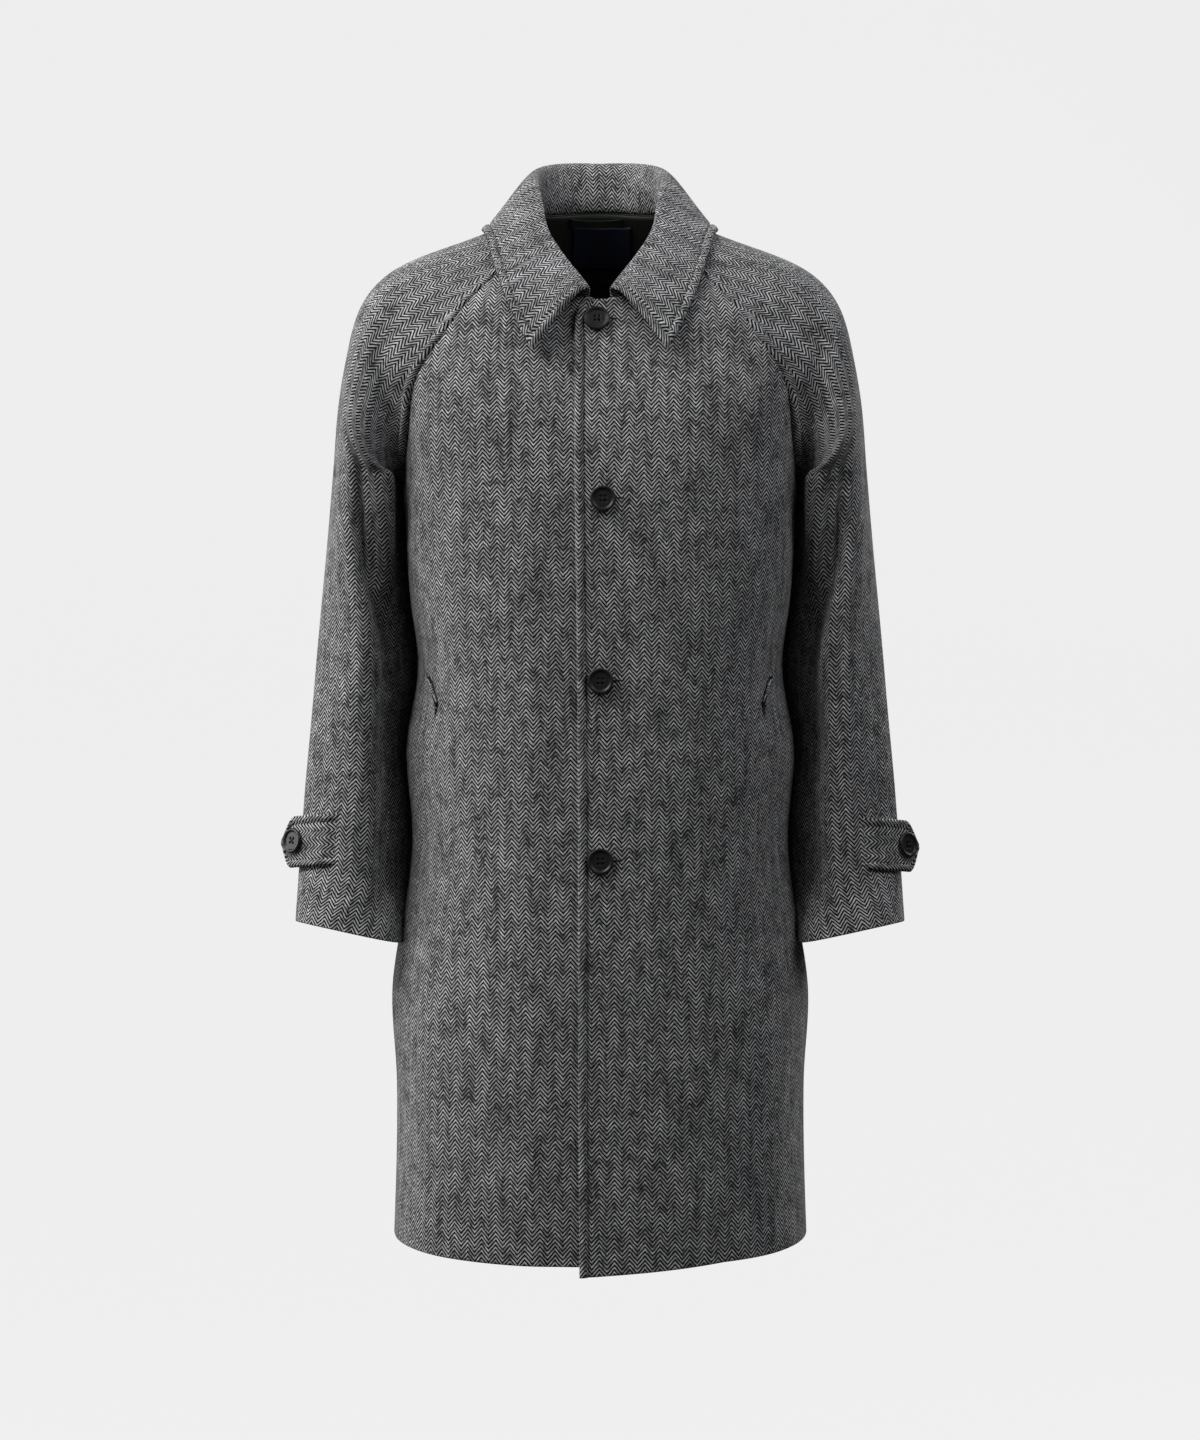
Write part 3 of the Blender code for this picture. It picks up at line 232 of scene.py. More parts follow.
# The middle line of the front and of the back: depth and fullness at each height.
FRONT_LINE = chart(("height", "depth", "pull"), (
    (-1.045, 0.1910, 0.152),
    (-0.900, 0.1820, 0.148),
    (-0.750, 0.1715, 0.145),
    (-0.600, 0.1620, 0.145),
    (-0.450, 0.1535, 0.148),
    (-0.330, 0.1480, 0.150),
    (-0.250, 0.1420, 0.150),
    (-0.200, 0.1340, 0.150),
    (-0.150, 0.1190, 0.150),
    (-0.120, 0.1085, 0.150),
    (-0.090, 0.0975, 0.150),
))
BACK_LINE = chart(("height", "depth", "pull"), (
    (-1.045, 0.1740, 0.146),
    (-0.900, 0.1640, 0.142),
    (-0.750, 0.1530, 0.138),
    (-0.600, 0.1440, 0.137),
    (-0.450, 0.1385, 0.138),
    (-0.330, 0.1375, 0.140),
    (-0.230, 0.1380, 0.140),
    (-0.150, 0.1340, 0.140),
    (-0.080, 0.1220, 0.140),
    (-0.030, 0.1040, 0.140),
    (0.0265, 0.0690, 0.140),
))

# The side seam, hem to underarm, and how far front and back bow around it.
SIDE_SEAM = chart(("height", "half_width", "seam_y", "front_pull", "back_pull"), (
    (-1.028, 0.2115, 0.000, 0.136, 0.124),
    (-0.880, 0.2092, 0.000, 0.120, 0.112),
    (-0.770, 0.2080, 0.000, 0.098, 0.100),
    (-0.700, 0.1964, 0.000, 0.080, 0.090),
    (-0.620, 0.1884, 0.000, 0.074, 0.084),
    (-0.535, 0.1945, 0.000, 0.078, 0.084),
    (-0.460, 0.1862, 0.001, 0.080, 0.084),
    (-0.390, 0.1932, 0.002, 0.092, 0.088),
    (-0.330, 0.1975, 0.003, 0.102, 0.094),
    (-0.270, 0.2030, 0.005, 0.112, 0.100),
))

# The raglan seams, underarm to neckline. Depth is measured away from the middle plane.
# Centre is the height where a row leaves the middle line, and centre_pull its fullness there.
# Facing turns from straight ahead (0) to sideways (90), rise tips the cloth to the sky,
# and climb is how steeply a row of the cloth crosses the seam.
RAGLAN_COLUMNS = (
    "share", "x", "depth", "height", "centre", "centre_pull", "body_facing", "sleeve_facing",
    "rise", "body_climb", "sleeve_climb", "body_pull", "sleeve_pull",
)
RAGLAN_FRONT = chart(RAGLAN_COLUMNS, (
    (0.00, 0.2030, -0.005, -0.270, -0.290, 0.150, 90, -90, 0, 0, 0, 0.112, 0.112),
    (0.16, 0.1985, 0.042, -0.250, -0.262, 0.125, 78, -60, 0, 0, 0, 0.075, 0.086),
    (0.30, 0.1920, 0.071, -0.214, -0.236, 0.112, 66, -25, 3, 0, 0, 0.060, 0.065),
    (0.43, 0.1850, 0.086, -0.172, -0.209, 0.104, 44, 6, 9, 0, 8, 0.054, 0.055),
    (0.55, 0.1650, 0.0905, -0.138, -0.185, 0.095, 29, 22, 17, 2, 24, 0.049, 0.048),
    (0.70, 0.1370, 0.084, -0.098, -0.156, 0.079, 25, 25, 27, 10, 38, 0.043, 0.040),
    (0.85, 0.1055, 0.068, -0.063, -0.125, 0.060, 24, 24, 36, 26, 48, 0.036, 0.031),
    (1.00, 0.0710, 0.047, -0.030, -0.092, 0.042, 22, 22, 45, 53, 53, 0.036, 0.019),
))
RAGLAN_BACK = chart(RAGLAN_COLUMNS, (
    (0.00, 0.2030, 0.005, -0.270, -0.285, 0.140, 90, -90, 0, 0, 0, 0.100, 0.110),
    (0.16, 0.1980, 0.048, -0.248, -0.252, 0.118, 76, -60, 0, 0, 0, 0.069, 0.084),
    (0.30, 0.1900, 0.077, -0.210, -0.217, 0.104, 60, -25, 3, 0, 0, 0.056, 0.064),
    (0.43, 0.1780, 0.096, -0.165, -0.180, 0.096, 40, 8, 10, 0, 8, 0.050, 0.055),
    (0.55, 0.1590, 0.104, -0.122, -0.140, 0.087, 28, 22, 18, 2, 22, 0.047, 0.048),
    (0.70, 0.1270, 0.101, -0.072, -0.085, 0.070, 24, 24, 30, 4, 30, 0.042, 0.040),
    (0.85, 0.0930, 0.082, -0.024, -0.029, 0.050, 22, 22, 42, 4, 34, 0.034, 0.029),
    (1.00, 0.0600, 0.050, 0.021, 0.0265, 0.026, 25, 25, 56, -4, 14, 0.024, 0.018),
))

# How far each front reaches past the centre line, by height. The top corner is round.
EDGE = chart(("height", "reach"), (
    (-1.045, 0.0197),
    (-0.850, 0.0212),
    (-0.550, 0.0218),
    (-0.350, 0.0240),
    (-0.200, 0.0250),
    (-0.135, 0.0250),
    (-0.115, 0.0245),
    (-0.104, 0.0215),
    (-0.096, 0.0165),
    (-0.0905, 0.0115),
))

# A shallow dent in each front, where the cloth sinks above the pocket.
FRONT_FOLDS = (
    fold(
        (0.55, 0.82, 0.16, 0.000),
        (0.64, 0.82, 0.16, 0.000),
        (0.71, 0.82, 0.16, 0.003),
        (0.78, 0.83, 0.16, 0.005),
        (0.85, 0.84, 0.16, 0.003),
        (0.92, 0.86, 0.16, 0.000),
        (1.05, 0.86, 0.16, 0.000),
    ),
)


def smooth(table, key, column, at):
    """Natural cubic spline through one column of a chart, read at the given keys."""
    knots = table[key]
    values = table[column]
    gaps = np.diff(knots)
    slopes = np.diff(values) / gaps
    count = len(knots)
    system = np.eye(count)
    right = np.zeros(count)
    for row in range(1, count - 1):
        system[row, row - 1:row + 2] = gaps[row - 1], 2 * (gaps[row - 1] + gaps[row]), gaps[row]
        right[row] = 6 * (slopes[row] - slopes[row - 1])
    bend = np.linalg.solve(system, right)
    at = np.clip(np.asarray(at, dtype=float), knots[0], knots[-1])
    cell = np.clip(np.searchsorted(knots, at) - 1, 0, count - 2)
    before = at - knots[cell]
    after = knots[cell + 1] - at
    gap = gaps[cell]
    curve = (bend[cell] * after ** 3 + bend[cell + 1] * before ** 3) / (6 * gap)
    line = (values[cell] / gap - bend[cell] * gap / 6) * after
    return curve + line + (values[cell + 1] / gap - bend[cell + 1] * gap / 6) * before


def ease(low, high, at):
    """0 at low, 1 at high, with a soft S between them."""
    share = np.clip((at - low) / (high - low), 0.0, 1.0)
    return share * share * (3.0 - 2.0 * share)


def points(x, y, z):
    """Three coordinate arrays as one array of points."""
    return np.stack(np.broadcast_arrays(x, y, z), axis=-1).astype(float)


def unit(vectors):
    """Vectors scaled to length one."""
    return vectors / np.linalg.norm(vectors, axis=-1, keepdims=True)


def bezier(start, start_pull, end_pull, end, share):
    """Cubic curve from start to end, whose two middle points are start and end plus pulls."""
    share = share[..., None]
    rest = 1.0 - share
    first = start + start_pull
    second = end + end_pull
    near = rest ** 3 * start + 3 * rest ** 2 * share * first
    return near + 3 * rest * share ** 2 * second + share ** 3 * end


def facing_normal(facing, rise):
    """Direction that the cloth faces, as across, away from the middle plane, and up."""
    facing, rise = np.radians(facing), np.radians(rise)
    return points(np.sin(facing) * np.cos(rise), np.cos(facing) * np.cos(rise), np.sin(rise))


def crossing(facing, rise, climb):
    """Direction of a row as it crosses a seam, from the way the cloth faces there."""
    facing, rise, climb = np.radians(facing), np.radians(rise), np.radians(climb)
    level = points(np.cos(facing), -np.sin(facing), 0.0)
    upward = points(-np.sin(facing) * np.sin(rise), -np.cos(facing) * np.sin(rise), np.cos(rise))
    return np.cos(climb)[..., None] * level + np.sin(climb)[..., None] * upward


def split_level(level):
    """A level as its part below the underarm, its part above, and whether it is above."""
    level = np.asarray(level, dtype=float)
    return np.clip(level, 0.0, 1.0), np.clip(level - 1.0, 0.0, 1.0), level > 1.0


def placed(quarter, side, sign):
    """Turn depth into y, and mirror to the wearer's left (side 1) or right (side -1)."""
    return quarter * np.array((side, sign, 1.0))


def fold_depth(folds, level, share):
    """Sum of troughs in the cloth: each is a bell across the way that its chart gives."""
    total = np.zeros(np.broadcast(level, share).shape)
    for fold in folds:
        way = smooth(fold, "reach", "across", level)
        width = smooth(fold, "reach", "width", level)
        depth = np.maximum(smooth(fold, "reach", "depth", level), 0.0)
        total += depth * np.exp(-((share - way) / width) ** 2)
    return total * ease(0.0, 0.08, np.abs(share)) * ease(1.0, 0.92, np.abs(share))


def plain_quarter(sign, level, share):
    """Quarter of the body, from its middle line (share 0) to the side and raglan seam (share 1).

    Level runs from the hem (0) to the underarm (1) and the neckline (2). Each row is a cubic
    curve between the two lines. Depth is positive away from the middle plane.
    """
    low, high, above = split_level(level)
    raglan, line = (RAGLAN_FRONT, FRONT_LINE) if sign < 0 else (RAGLAN_BACK, BACK_LINE)
    hem, underarm = (HEM_FRONT, UNDERARM_FRONT) if sign < 0 else (HEM_BACK, UNDERARM_BACK)
    bow = "front_pull" if sign < 0 else "back_pull"
    side = HEM_SIDE + (UNDERARM_HEIGHT - HEM_SIDE) * low

    def seam(below, column):
        """A value below the underarm, and the raglan seam's own above it."""
        return np.where(above, smooth(raglan, "share", column, high), below)

    middle = seam(hem + (underarm - hem) * low, "centre")
    start = points(0.0, smooth(line, "height", "depth", middle), middle)
    start_pull = points(seam(smooth(line, "height", "pull", middle), "centre_pull"), 0.0, 0.0)
    end = points(
        seam(smooth(SIDE_SEAM, "height", "half_width", side), "x"),
        seam(sign * smooth(SIDE_SEAM, "height", "seam_y", side), "depth"),
        seam(side, "height"),
    )
    towards = crossing(seam(90.0, "body_facing"), seam(0.0, "rise"), seam(0.0, "body_climb"))
    reach = seam(smooth(SIDE_SEAM, "height", bow, side), "body_pull")
    return bezier(start, start_pull, -towards * reach[..., None], end, share)


def body_quarter(sign, level, share):
    """The plain quarter, with the cloth near the underarm eased into one curve up the body.

    The ease is a cubic that leaves and meets the plain quarter along its own way. It fades out
    towards the seam, which keeps its corner under the arm.
    """
    level, share = np.broadcast_arrays(np.asarray(level, float), np.asarray(share, float))
    plain = plain_quarter(sign, level, share)
    low, high = 1.0 - EASE_BELOW, 1.0 + EASE_ABOVE
    span = high - low
    start = plain_quarter(sign, low + 0.0 * level, share)
    before = plain_quarter(sign, low - STEP + 0.0 * level, share)
    end = plain_quarter(sign, high + 0.0 * level, share)
    after = plain_quarter(sign, high + STEP + 0.0 * level, share)
    way = np.clip((level - low) / span, 0.0, 1.0)
    pull = span / STEP / 3.0
    eased = bezier(start, (start - before) * pull, (end - after) * pull, end, way)
    keep = ease(1.0, 0.72, share) * ((level > low) & (level < high))
    return plain + (eased - plain) * keep[..., None]


def front_surface(side, level, share):
    """Front cloth at any share; below zero it has crossed the centre line."""
    quarter = body_quarter(-1.0, level, np.abs(share))
    quarter[..., 0] *= np.where(share < 0.0, -1.0, 1.0)
    quarter[..., :2] -= fold_depth(FRONT_FOLDS, level, share)[..., None]
    if side > 0:
        across = (quarter[..., 0] + UNDERLAP) / HEM_DROP_WIDTH
        drop = HEM_DROP * np.clip(1.0 - across, 0.0, 1.0)
        quarter[..., 2] -= drop * ease(HEM_FRONT + HEM_DROP_HEIGHT, HEM_FRONT, quarter[..., 2])
    else:
        quarter[..., 1] -= LAP_SINK * ease(LAP_SINK_END, LAP_SINK_FULL, quarter[..., 0])
    return placed(quarter, side, -1.0)


def surface_normals(surface, level, share):
    """Unit normals of a surface, square to a small step up it and a small step across."""
    level, share = np.broadcast_arrays(np.asarray(level, float), np.asarray(share, float))
    top = np.minimum(level + STEP, TOP)
    low = np.maximum(level - STEP, 0.0)
    rise = surface(top, share) - surface(low, share)
    run = surface(level, share + STEP) - surface(level, share - STEP)
    return unit(np.cross(run, rise))


def grid_normals(grid):
    """Unit normals of a grid of points, from its steps along rows and columns."""
    return unit(np.cross(np.gradient(grid, axis=1), np.gradient(grid, axis=0)))


def turned_out(normal, grid, middle):
    """The normals, all turned away from the middle of the garment's tube."""
    return normal if np.mean(np.sum(normal * (grid - middle), axis=-1)) > 0 else -normal


def body_seam_normals(side, sign, level):
    """Normals of the body cloth along its side and raglan seam."""
    raglan = RAGLAN_FRONT if sign < 0 else RAGLAN_BACK
    high, above = split_level(level)[1:]
    facing = np.where(above, smooth(raglan, "share", "body_facing", high), 90.0)
    rise = np.where(above, smooth(raglan, "share", "rise", high), 0.0)
    return placed(facing_normal(facing, rise), side, sign)


def arc(grid, axis):
    """Distance along the cloth from the first point of each row (axis 1) or column (axis 0)."""
    steps = np.linalg.norm(np.diff(grid, axis=axis), axis=-1)
    start = np.zeros_like(np.take(steps, [0], axis=axis))
    return np.concatenate((start, np.cumsum(steps, axis=axis)), axis=axis)


def to_edges(grid):
    """Distance of each point of a grid from its first and last column and row."""
    along, up = arc(grid, 1), arc(grid, 0)
    return {"first": along, "last": along[:, -1:] - along, "bottom": up, "top": up[-1:] - up}


def stitched(distance, inset, raised, groove):
    """A stitched edge: it swells between the border and the stitch line, and is drawn in there.

    The swelling follows the root of a half sine and the groove is a bell curve.
    """
    swell = np.sqrt(np.maximum(np.sin(np.pi * np.clip(distance / inset, 0.0, 1.0)), 0.0))
    return raised * swell - groove * np.exp(-((distance - inset) / GROOVE_WIDE) ** 2)


def met(outward, seam, share):
    """Normals that turn into those of the seam that a row reaches at share 1."""
    blend = ease(SEAM_TURN, 1.0, share)[None, :, None]
    return unit(outward * (1.0 - blend) + seam * blend)


# Extra rows close to a rounded or stitched edge, as shares of the way across the cloth.
EDGE_SHARES = np.array((0.0, 0.0014, 0.0040, 0.0075, 0.011, 0.015, 0.019, 0.0225, 0.026, 0.0295,
                        0.033, 0.0365, 0.040, 0.045, 0.052))
EDGE_SHARES_CLEAR = EDGE_SHARES[-1] + 0.005


def near_edges(low, high, count):
    """Even shares from 0 to 1, with the extra ones close to its low end, its high end or both."""
    inner = np.linspace(0.0, 1.0, count)
    keep = inner[(inner > (EDGE_SHARES_CLEAR if low else -1.0))
                 & (inner < (1.0 - EDGE_SHARES_CLEAR if high else 2.0))]
    return np.concatenate(([EDGE_SHARES] if low else []) + [keep]
                          + ([1.0 - EDGE_SHARES[::-1]] if high else []))


def cloth(name, ending, outer, outward, uv, look, wall=WALL, inside=None):
    """A cloth wall in place of a solid: an outer face, an inner face and a rounded edge all round.

    Half the wall's thickness follows a half circle with the distance from the nearest border.
    """
    rows, columns = outer.shape[:2]
    edges = to_edges(outer)
    border = np.minimum(np.minimum(edges["first"], edges["last"]),
                        np.minimum(edges["bottom"], edges["top"]))
    half = wall / 2.0
    lens = half * np.sqrt(1.0 - (1.0 - np.clip(border / half, 0.04, 1.0)) ** 2)
    middle = outer - outward * half
    faces = outward * lens[..., None]
    vertices = np.concatenate(((middle + faces).reshape(-1, 3), (middle - faces).reshape(-1, 3)))
    count = rows * columns
    index = np.arange(count).reshape(rows, columns)
    loop = np.concatenate((index[0, :-1], index[:-1, -1], index[-1, :0:-1], index[:0:-1, 0]))
    after = np.roll(loop, -1)
    rim = np.stack((after, loop, loop + count, after + count), axis=1)
    turn = np.sum(np.cross(outer[rows // 2, columns // 2 + 1] - outer[rows // 2, columns // 2],
                           outer[rows // 2 + 1, columns // 2] - outer[rows // 2, columns // 2])
                  * outward[rows // 2, columns // 2]) < 0.0
    face = grid_quads(rows, columns)
    quads = np.concatenate((face, grid_quads(rows, columns, count, True), rim))
    thing = mesh_object(name + ending, vertices, quads[:, ::-1] if turn else quads, look)
    mesh = thing.data
    layer = mesh.uv_layers.new(name="weave")
    corners = np.empty(len(mesh.loops), dtype=np.int32)
    mesh.loops.foreach_get("vertex_index", corners)
    flat = np.concatenate((uv.reshape(-1, 2), uv.reshape(-1, 2)))
    layer.data.foreach_set("uv", flat[corners].ravel().astype(np.float32))
    if inside is not None:
        mesh.materials.append(inside)
        which = np.zeros(len(quads), dtype=np.int32)
        which[len(face):2 * len(face)] = 1
        mesh.polygons.foreach_set("material_index", which)
    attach(thing, "root")
    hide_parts(name)
    return thing


# How much longer the cloth is than it rises where it slopes over the shoulder.
SHOULDER_SLOPE = 1.25


def level_uv(grid, middle_line, middle_height):
    """Weave coordinates: the way round the body, level, and the way up the middle line.

    Across is the running length of each row without its rise. Up is read at each point's height
    from the running length of the middle line, and goes on past its top at the shoulder's slope.
    """
    flat = grid * np.array((1.0, 1.0, 0.0))
    across = arc(flat, 1)
    rise = np.concatenate(((0.0,), np.cumsum(np.linalg.norm(np.diff(middle_line, axis=0), axis=1))))
    beyond = np.maximum(grid[..., 2] - middle_height[-1], 0.0)
    below = np.minimum(grid[..., 2] - middle_height[0], 0.0)
    up = np.interp(grid[..., 2], middle_height, rise) + beyond * SHOULDER_SLOPE + below
    return np.stack((across, up), axis=-1)


# Wool herringbone: woollen spun yarn, black against off-white in a twill that turns back every
# 7.3 mm. The yarn is hairy and its tone wanders along each rib, so some ribs flare up pale.
# Noise scales are in turns a metre: 800 sets the hairs a little over a millimetre apart.
COLUMN_WIDE = 0.0073
TWILL_PITCH = 0.00425
TWILL_RISE = 1.16
DARK_YARN = "060607"
LIGHT_YARN = "F2F2F3"
DIM_YARN = "5C5D5E"
WANDER_ACROSS = 0.0014
WANDER_UP = 0.0012
HAIR_SCALE = 800.0
HAIRINESS = 0.9
CLOUD_SCALE = 55.0
SWAY_SCALE = 130.0
SLIP_SCALE = 200.0

# Streaks of tone, in turns a metre across and up: along each rib, and in lanes up the cloth.
SPUN_ACROSS, SPUN_ALONG = 230.0, 0.9
LANE_ACROSS, LANE_UP = 120.0, 16.0

# How much lanes and clouds add to the tone, the tones where the yarn is dimmest and palest, and
# the heights in the wave of a rib where it turns from dark yarn to light.
LANE_TONE, CLOUD_TONE = 0.5, 0.7
TONE_DIM, TONE_PALE = 0.86, 1.44
RIB_DARK, RIB_LIGHT = -0.30, 0.60


def tweed_material(name):
    """Herringbone from the weave coordinates: ribs whose phase rises and falls as a zigzag
    across the columns. Each rib is a smooth pulse between the dark and the light yarn."""
    look, tree, shader = material(name)
    place = node(tree, "ShaderNodeTexCoord").outputs["Object"]
    flat = node(tree, "ShaderNodeUVMap", {"uv_map": "weave"})
    flat = node(tree, "ShaderNodeSeparateXYZ", Vector=flat)
    times, plus = {"operation": "MULTIPLY"}, {"operation": "MULTIPLY_ADD"}
    noise = {"Detail": 2.0, "Roughness": 0.6}
    sway = node(tree, "ShaderNodeTexNoise", Vector=place, Scale=SWAY_SCALE, **noise)
    slip = node(tree, "ShaderNodeTexNoise", Vector=place, Scale=SLIP_SCALE, **noise)
    across = node(tree, "ShaderNodeMath", plus, i0=sway, i1=WANDER_ACROSS, i2=flat.outputs["X"])
    upward = node(tree, "ShaderNodeMath", plus, i0=slip, i1=WANDER_UP, i2=flat.outputs["Y"])
    zigzag = node(tree, "ShaderNodeMath", {"operation": "PINGPONG"}, i0=across, i1=COLUMN_WIDE)
    slant = node(tree, "ShaderNodeMath", plus, i0=zigzag, i1=TWILL_RISE, i2=upward)
    phase = node(tree, "ShaderNodeMath", {"operation": "DIVIDE"}, i0=slant, i1=TWILL_PITCH)
    turns = node(tree, "ShaderNodeMath", times, i0=phase, i1=2.0 * math.pi)
    rib = node(tree, "ShaderNodeMath", {"operation": "SINE"}, i0=turns)

    # The yarn's tone changes along each rib, in long lanes up the cloth and in soft clouds.
    rib_way = node(tree, "ShaderNodeCombineXYZ",
                   X=node(tree, "ShaderNodeMath", times, i0=across, i1=SPUN_ACROSS),
                   Y=node(tree, "ShaderNodeMath", times, i0=phase, i1=SPUN_ALONG))
    lane_way = node(tree, "ShaderNodeCombineXYZ",
                    X=node(tree, "ShaderNodeMath", times, i0=across, i1=LANE_ACROSS),
                    Y=node(tree, "ShaderNodeMath", times, i0=upward, i1=LANE_UP))
    spun = node(tree, "ShaderNodeTexNoise", Vector=rib_way, Scale=1.0, Detail=2.0, Roughness=0.7)
    lanes = node(tree, "ShaderNodeTexNoise", Vector=lane_way, Scale=1.0, **noise)
    cloud = node(tree, "ShaderNodeTexNoise", Vector=place, Scale=CLOUD_SCALE, Detail=4.0,
                 Roughness=0.7)
    tone = node(tree, "ShaderNodeMath", plus, i0=lanes, i1=LANE_TONE, i2=spun)
    tone = node(tree, "ShaderNodeMath", plus, i0=cloud, i1=CLOUD_TONE, i2=tone)
    flare = node(tree, "ShaderNodeMapRange", Value=tone, From_Min=TONE_DIM, From_Max=TONE_PALE)
    bright = node(tree, "ShaderNodeMix", {"data_type": "RGBA"}, Factor=flare, i6=linear(DIM_YARN),
                  i7=linear(LIGHT_YARN))

    # Hairs fray the border of each rib and give the wool its nap.
    hair = node(tree, "ShaderNodeTexNoise", Vector=place, Scale=HAIR_SCALE, Detail=2.0,
                Roughness=0.7)
    level = node(tree, "ShaderNodeMath", {"operation": "ADD"}, i0=rib, i1=-0.5 * HAIRINESS)
    ragged = node(tree, "ShaderNodeMath", plus, i0=hair, i1=HAIRINESS, i2=level)
    light = node(tree, "ShaderNodeMapRange", {"interpolation_type": "SMOOTHSTEP"}, Value=ragged,
                 From_Min=RIB_DARK, From_Max=RIB_LIGHT)
    yarn = node(tree, "ShaderNodeMix", {"data_type": "RGBA"}, Factor=light, i6=linear(DARK_YARN),
                i7=bright.outputs[2])
    nap = node(tree, "ShaderNodeMath", plus, i0=hair, i1=0.5, i2=light)
    bump = node(tree, "ShaderNodeBump", Strength=0.5, Distance=0.0006, Height=nap)
    wire(tree, shader, Base_Color=yarn.outputs[2], Normal=bump, Roughness=0.92,
         Specular_IOR_Level=0.15, Sheen_Weight=0.12, Sheen_Roughness=0.5)
    return look


tweed = tweed_material("herringbone_tweed")

# Lining: viscose satin in a dark green grey, whose floats give it a soft shine and fine creases.
SATIN_COLOUR = "2A2F26"
satin, tree, shader = material("dark_satin_lining")
grain = node(tree, "ShaderNodeTexNoise", Vector=node(tree, "ShaderNodeTexCoord").outputs["Object"],
             Scale=140.0, Detail=4.0, Roughness=0.6)
bump = node(tree, "ShaderNodeBump", Strength=0.2, Distance=0.0008, Height=grain)
wire(tree, shader, Base_Color=linear(SATIN_COLOUR), Normal=bump, Roughness=0.42, Sheen_Weight=0.1)


def edge_shares(side, levels):
    """Share, below zero, of each front row's free edge past the centre line."""
    heights = front_surface(side, levels, 0.0 * levels)[:, 2]
    reach = smooth(EDGE, "height", "reach", heights)
    if side < 0:
        reach = reach * UNDERLAP / np.max(EDGE["reach"])
    shares = np.linspace(0.0, 0.5, 201)
    across = body_quarter(-1.0, levels[:, None], shares[None, :])[..., 0]
    return -np.array([np.interp(far, row, shares) for far, row in zip(reach, across)])


# Rows of the cloth from the hem up, closer together at both ends.
TOP_LEVELS = np.concatenate((1.0 + np.linspace(0.0, 0.985, 66), (1.990, 1.994, 1.997, 1.999, TOP)))
BODY_LEVELS = np.concatenate((
    (0.0, 0.0006, 0.0018, 0.0035, 0.006), np.linspace(0.010, 1.0, 101)[:-1], TOP_LEVELS))

# How far each front swells beside the sleeve, where the cloth is full over the pocket.
SIDE_FULLNESS = 0.0055
SIDE_FULL_SHARE = 0.86
SIDE_FULL_WIDTH = 0.12
SIDE_FULL_STARTS = (0.20, 0.34)
SIDE_FULL_ENDS = (0.98, 0.80)

# Long waves of unevenness in the body.
SLOW_RIPPLE = 0.0011
QUICK_RIPPLE = 0.0005


def body_ripple(side, level, share):
    """Soft unevenness of hanging cloth: two products of long sine waves, across and up.

    Their lengths and starts are chosen so that they wander and never meet in step.
    """
    way = share * 9.0 + side * 1.3
    slow = np.sin(way + 2.1 * level) * np.sin(3.0 * level + 1.7 * side)
    quick = np.sin(2.3 * way - 3.4 * level + 0.8) * np.sin(5.2 * level + 0.6)
    hang = ease(1.55, 0.9, level)
    return (SLOW_RIPPLE * slow + QUICK_RIPPLE * quick) * hang * ease(0.0, 0.12, np.abs(share))


def along_edge(grid, distance, inset):
    """Points of a grid that lie a given distance in from a border, one in each row."""
    return np.array([[np.interp(inset, far, row[:, axis]) for axis in range(3)]
                     for far, row in zip(distance, grid)])


# Sewing thread lies 2.6 mm on the cloth and dips 1 mm under it. It is drawn twice as thick as
# life, 0.8 mm, so that it shows.
STITCH_LENGTH = 0.0026
STITCH_GAP = 0.0010
THREAD_HALF = 0.00042
THREAD_PROUD = 0.00035
THREAD_SUNK = 0.0003
THREAD_RINGS = 5
THREAD_CORNERS = 4


def read_along(at, run, path):
    """Points of a path at the given lengths along it."""
    return np.stack([np.interp(at, run, path[:, axis]) for axis in range(3)], axis=-1)


def stitch_row(path, face, length=STITCH_LENGTH, gap=STITCH_GAP, thick=THREAD_HALF,
               proud=THREAD_PROUD):
    """Stitches along a path on the cloth: short rods, bowed up in the middle, ends drawn in.

    Each is a ring of four points carried through five places. Its thickness and its height
    follow a half sine from end to end.
    """
    run = arc(path[:, None], 0)[:, 0]
    starts = np.arange(0.5 * gap, run[-1] - length, length + gap)
    share = np.linspace(0.0, 1.0, THREAD_RINGS)
    at = starts[:, None] + length * share[None, :]
    place = read_along(at, run, path)
    up = unit(read_along(at, run, face))
    way = unit(place[:, -1:] - place[:, :1])
    side = unit(np.cross(up, way + 0.0 * up))
    bow = np.sin(np.pi * share)[None, :, None]
    place = place + up * (proud * bow - THREAD_SUNK * (1.0 - bow))
    size = thick * (0.35 + 0.65 * bow)
    ring = np.stack((place + side * size, place + up * size, place - side * size, place - up * size),
                    axis=2)
    corners = np.arange(THREAD_CORNERS)
    stitch = THREAD_RINGS * THREAD_CORNERS
    base = (np.arange(len(starts)) * stitch)[:, None, None]
    step = (np.arange(THREAD_RINGS - 1) * THREAD_CORNERS)[None, :, None]
    turn = corners[None, None, :]
    after = (turn + 1) % THREAD_CORNERS
    quads = np.stack((base + step + turn, base + step + THREAD_CORNERS + turn,
                      base + step + THREAD_CORNERS + after, base + step + after), axis=-1)
    caps = np.concatenate((base[:, 0] + corners, base[:, 0] + stitch - 1 - corners))
    return ring.reshape(-1, 3), np.concatenate((quads.reshape(-1, 4), caps))


def edge_stitches(outer, outward, distance, inset):
    """A row of stitches on the cloth, a given distance in from one of its borders."""
    return stitch_row(along_edge(outer, distance, inset), along_edge(outward, distance, inset))


